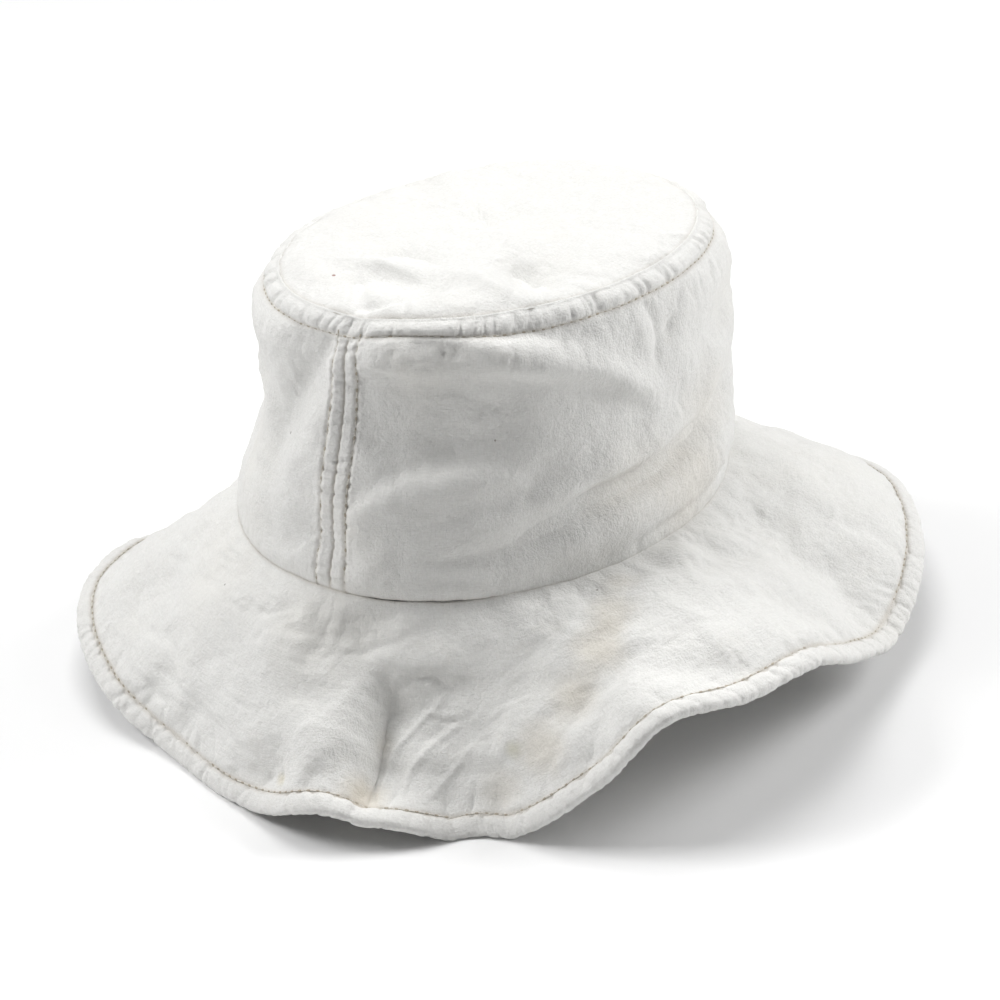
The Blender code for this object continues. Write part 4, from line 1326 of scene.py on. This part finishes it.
# %% Sewing along paths
def sew(name, paths, seed):
    """Sew rows of stitches along paths of points with their cloth directions."""
    mesh = bpy.data.meshes.new(name)
    points, squares, edges = [], [], []
    for line, square, looped in paths:
        start = len(points)
        points += line.tolist()
        squares += square.tolist()
        edges += [(start + k, start + k + 1) for k in range(len(line) - 1)]
        if looped:
            edges.append((start + len(line) - 1, start))
    mesh.from_pydata(points, edges, [])
    layer = mesh.attributes.new("square", "FLOAT_VECTOR", "POINT")
    layer.data.foreach_set("vector", np.array(squares, np.float32).ravel())
    item = placed(name, mesh)
    rows = item.modifiers.new("sewing", "NODES")
    rows.node_group = sewing
    given = {**STITCH_SIZES, "Seed": seed, "Thread Finish": thread, "Hole Shade Finish": hole}
    for asked, value in given.items():
        rows[inputs[asked]] = value
    bpy.context.view_layer.update()
    seen = item.evaluated_get(bpy.context.evaluated_depsgraph_get())
    plain = bpy.data.meshes.new_from_object(seen)
    item.modifiers.clear()
    item.data = plain
    plain.name = name
    print(f"{name}: {len(plain.polygons)} faces")
    return item


# %% Where the rows of stitches run
def side_row(bearing, share, looped):
    """A row on the side panel: its points, its cloth directions, and if it closes."""
    line = spot(side_out, bearing, share, bearings, shares)
    return line, unit(spot(side_square, bearing, share, bearings, shares)), looped


turns = np.linspace(0, 360, 700, endpoint=False) + SIDE_SEAM
rows = [side_row(turns, 1 - ROLL_STITCHES * roll_tall(turns) / CROWN_HEIGHT, True)]
heights = np.linspace(0.012, 1 - 1.15 * roll_tall(SIDE_SEAM) / CROWN_HEIGHT, 120)
seam_radius = oval(TOP_LONG, TOP_SHORT, PADDED_SEAM, SIDE_SEAM)
for side in (-1, 1):
    turns = SIDE_SEAM + np.degrees(side * ridge_wide(heights) / seam_radius)
    rows.append(side_row(turns, heights, False))
crown_stitches = sew("crown_stitches", rows, 3)

STITCH_INWARDS, STITCH_LIFT = 6.85, 0.70
inner = edge - out * STITCH_INWARDS * MM
raised = lift * STITCH_LIFT * MM
rows = [(inner + raised + MIDDLE, lift, True), (inner - raised + MIDDLE, -lift, True)]
edge_stitches = sew("edge_stitches", rows, 5)

# %% [markdown]
# ## Give the pieces to the frame
#
# Each cloth stands for its CAD solid. The hat has no joints, so all of them
# ride on the one body.

# %% Ride and replace
pieces = (
    (crown_side, "crown_side", "crown_cotton", 0.3),
    (crown_top, "crown_top", "crown_cotton", 0.3),
    (brim, "brim", "brim_cotton", 0.25),
    (strip, "brim_binding", "binding_cotton", 0.35),
)
for item, node, slot, fill in pieces:
    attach(item, "root")
    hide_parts(node)
    cad = np.array([list(corner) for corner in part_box(node)])
    own = np.array([v.co for v in item.data.vertices])
    apart = np.array([own.min(0), own.max(0)]) - cad
    print(node, "differs from its CAD box by mm", np.round(apart / MM, 1).tolist())
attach(crown_stitches, "root")
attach(edge_stitches, "root")

# %% [markdown]
# ## Floor, light and camera
#
# The photograph was taken on white, with a broad soft light above and behind
# the hat: the top is almost white and the side towards the camera is grey. One
# large lamp above, one at each side and a pale sky all round do the same.

# %% The floor
floor_mesh = bpy.data.meshes.new("floor")
FLOOR_HALF = 6.0
corners = [(x * FLOOR_HALF, y * FLOOR_HALF, 0) for x, y in ((-1, -1), (1, -1), (1, 1), (-1, 1))]
floor_mesh.from_pydata(corners, [], [(0, 1, 2, 3)])
floor = placed("floor", floor_mesh)
pale, loom, shader = new_finish("pale floor")
loom.fill(shader, {"Base Color": (0.93, 0.93, 0.93, 1), "Roughness": 0.9})
floor.data.materials.append(pale)

# %% The camera
# The photograph was fitted with a long lens, 1.2 m away, rolled a little.
VIEW_DOWN, VIEW_ROLL, VIEW_TURN, VIEW_AWAY = 29.0, 5.0, -137.0, 1.2
VIEW_LENS, VIEW_SHIFT = 114.55, (0.014, -0.0286)
down, roll = math.radians(VIEW_DOWN), math.radians(VIEW_ROLL)
forward = Vector((0, math.cos(down), -math.sin(down)))
upright = Vector((0, math.sin(down), math.cos(down)))
right = Vector((1, 0, 0))
top = upright * math.cos(roll) + right * math.sin(roll)
right = right * math.cos(roll) - upright * math.sin(roll)
spin = Matrix.Rotation(math.radians(VIEW_TURN), 3, "Z")
facing = spin @ Matrix((right, top, -forward)).transposed()
camera = placed("camera", bpy.data.cameras.new("camera"))
camera.data.sensor_width = 36
camera.data.lens = VIEW_LENS
camera.data.shift_x, camera.data.shift_y = VIEW_SHIFT
place = Vector(MIDDLE) - spin @ forward * VIEW_AWAY
camera.matrix_world = Matrix.Translation(place) @ facing.to_4x4()
bpy.context.scene.camera = camera
print("camera at", [round(v, 3) for v in place])


# %% The light
LAMP_AIM = 0.08
SKY = 0.135


def lamp(name, bearing, height, away, size, power):
    """A square soft light, aimed at the hat. Bearing 0 is behind the camera."""
    light = bpy.data.lights.new(name, "AREA")
    light.size = size
    light.energy = power
    item = placed(name, light)
    turn = math.radians(VIEW_TURN - 90 + bearing)
    up = math.radians(height)
    where = Vector((math.cos(turn) * math.cos(up), math.sin(turn) * math.cos(up), math.sin(up))) * away
    item.location = where + Vector((0, 0, LAMP_AIM))
    item.rotation_euler = where.to_track_quat("Z", "Y").to_euler()
    print(f"{name} lamp: {power} W, {size} m wide, {away} m away")


lamp("overhead", 190, 77, 1.5, 0.9, 12.0)
lamp("left", 266, 43, 1.6, 0.6, 15.0)
lamp("right", 96, 32, 1.8, 0.9, 22.4)
world = bpy.data.worlds.new("studio")
world.use_nodes = True
sky = world.node_tree.nodes["Background"]
Loom(world.node_tree).fill(sky, {"Color": (1, 1, 1, 1), "Strength": SKY})
bpy.context.scene.world = world
bpy.context.scene.view_settings.view_transform = "Standard"
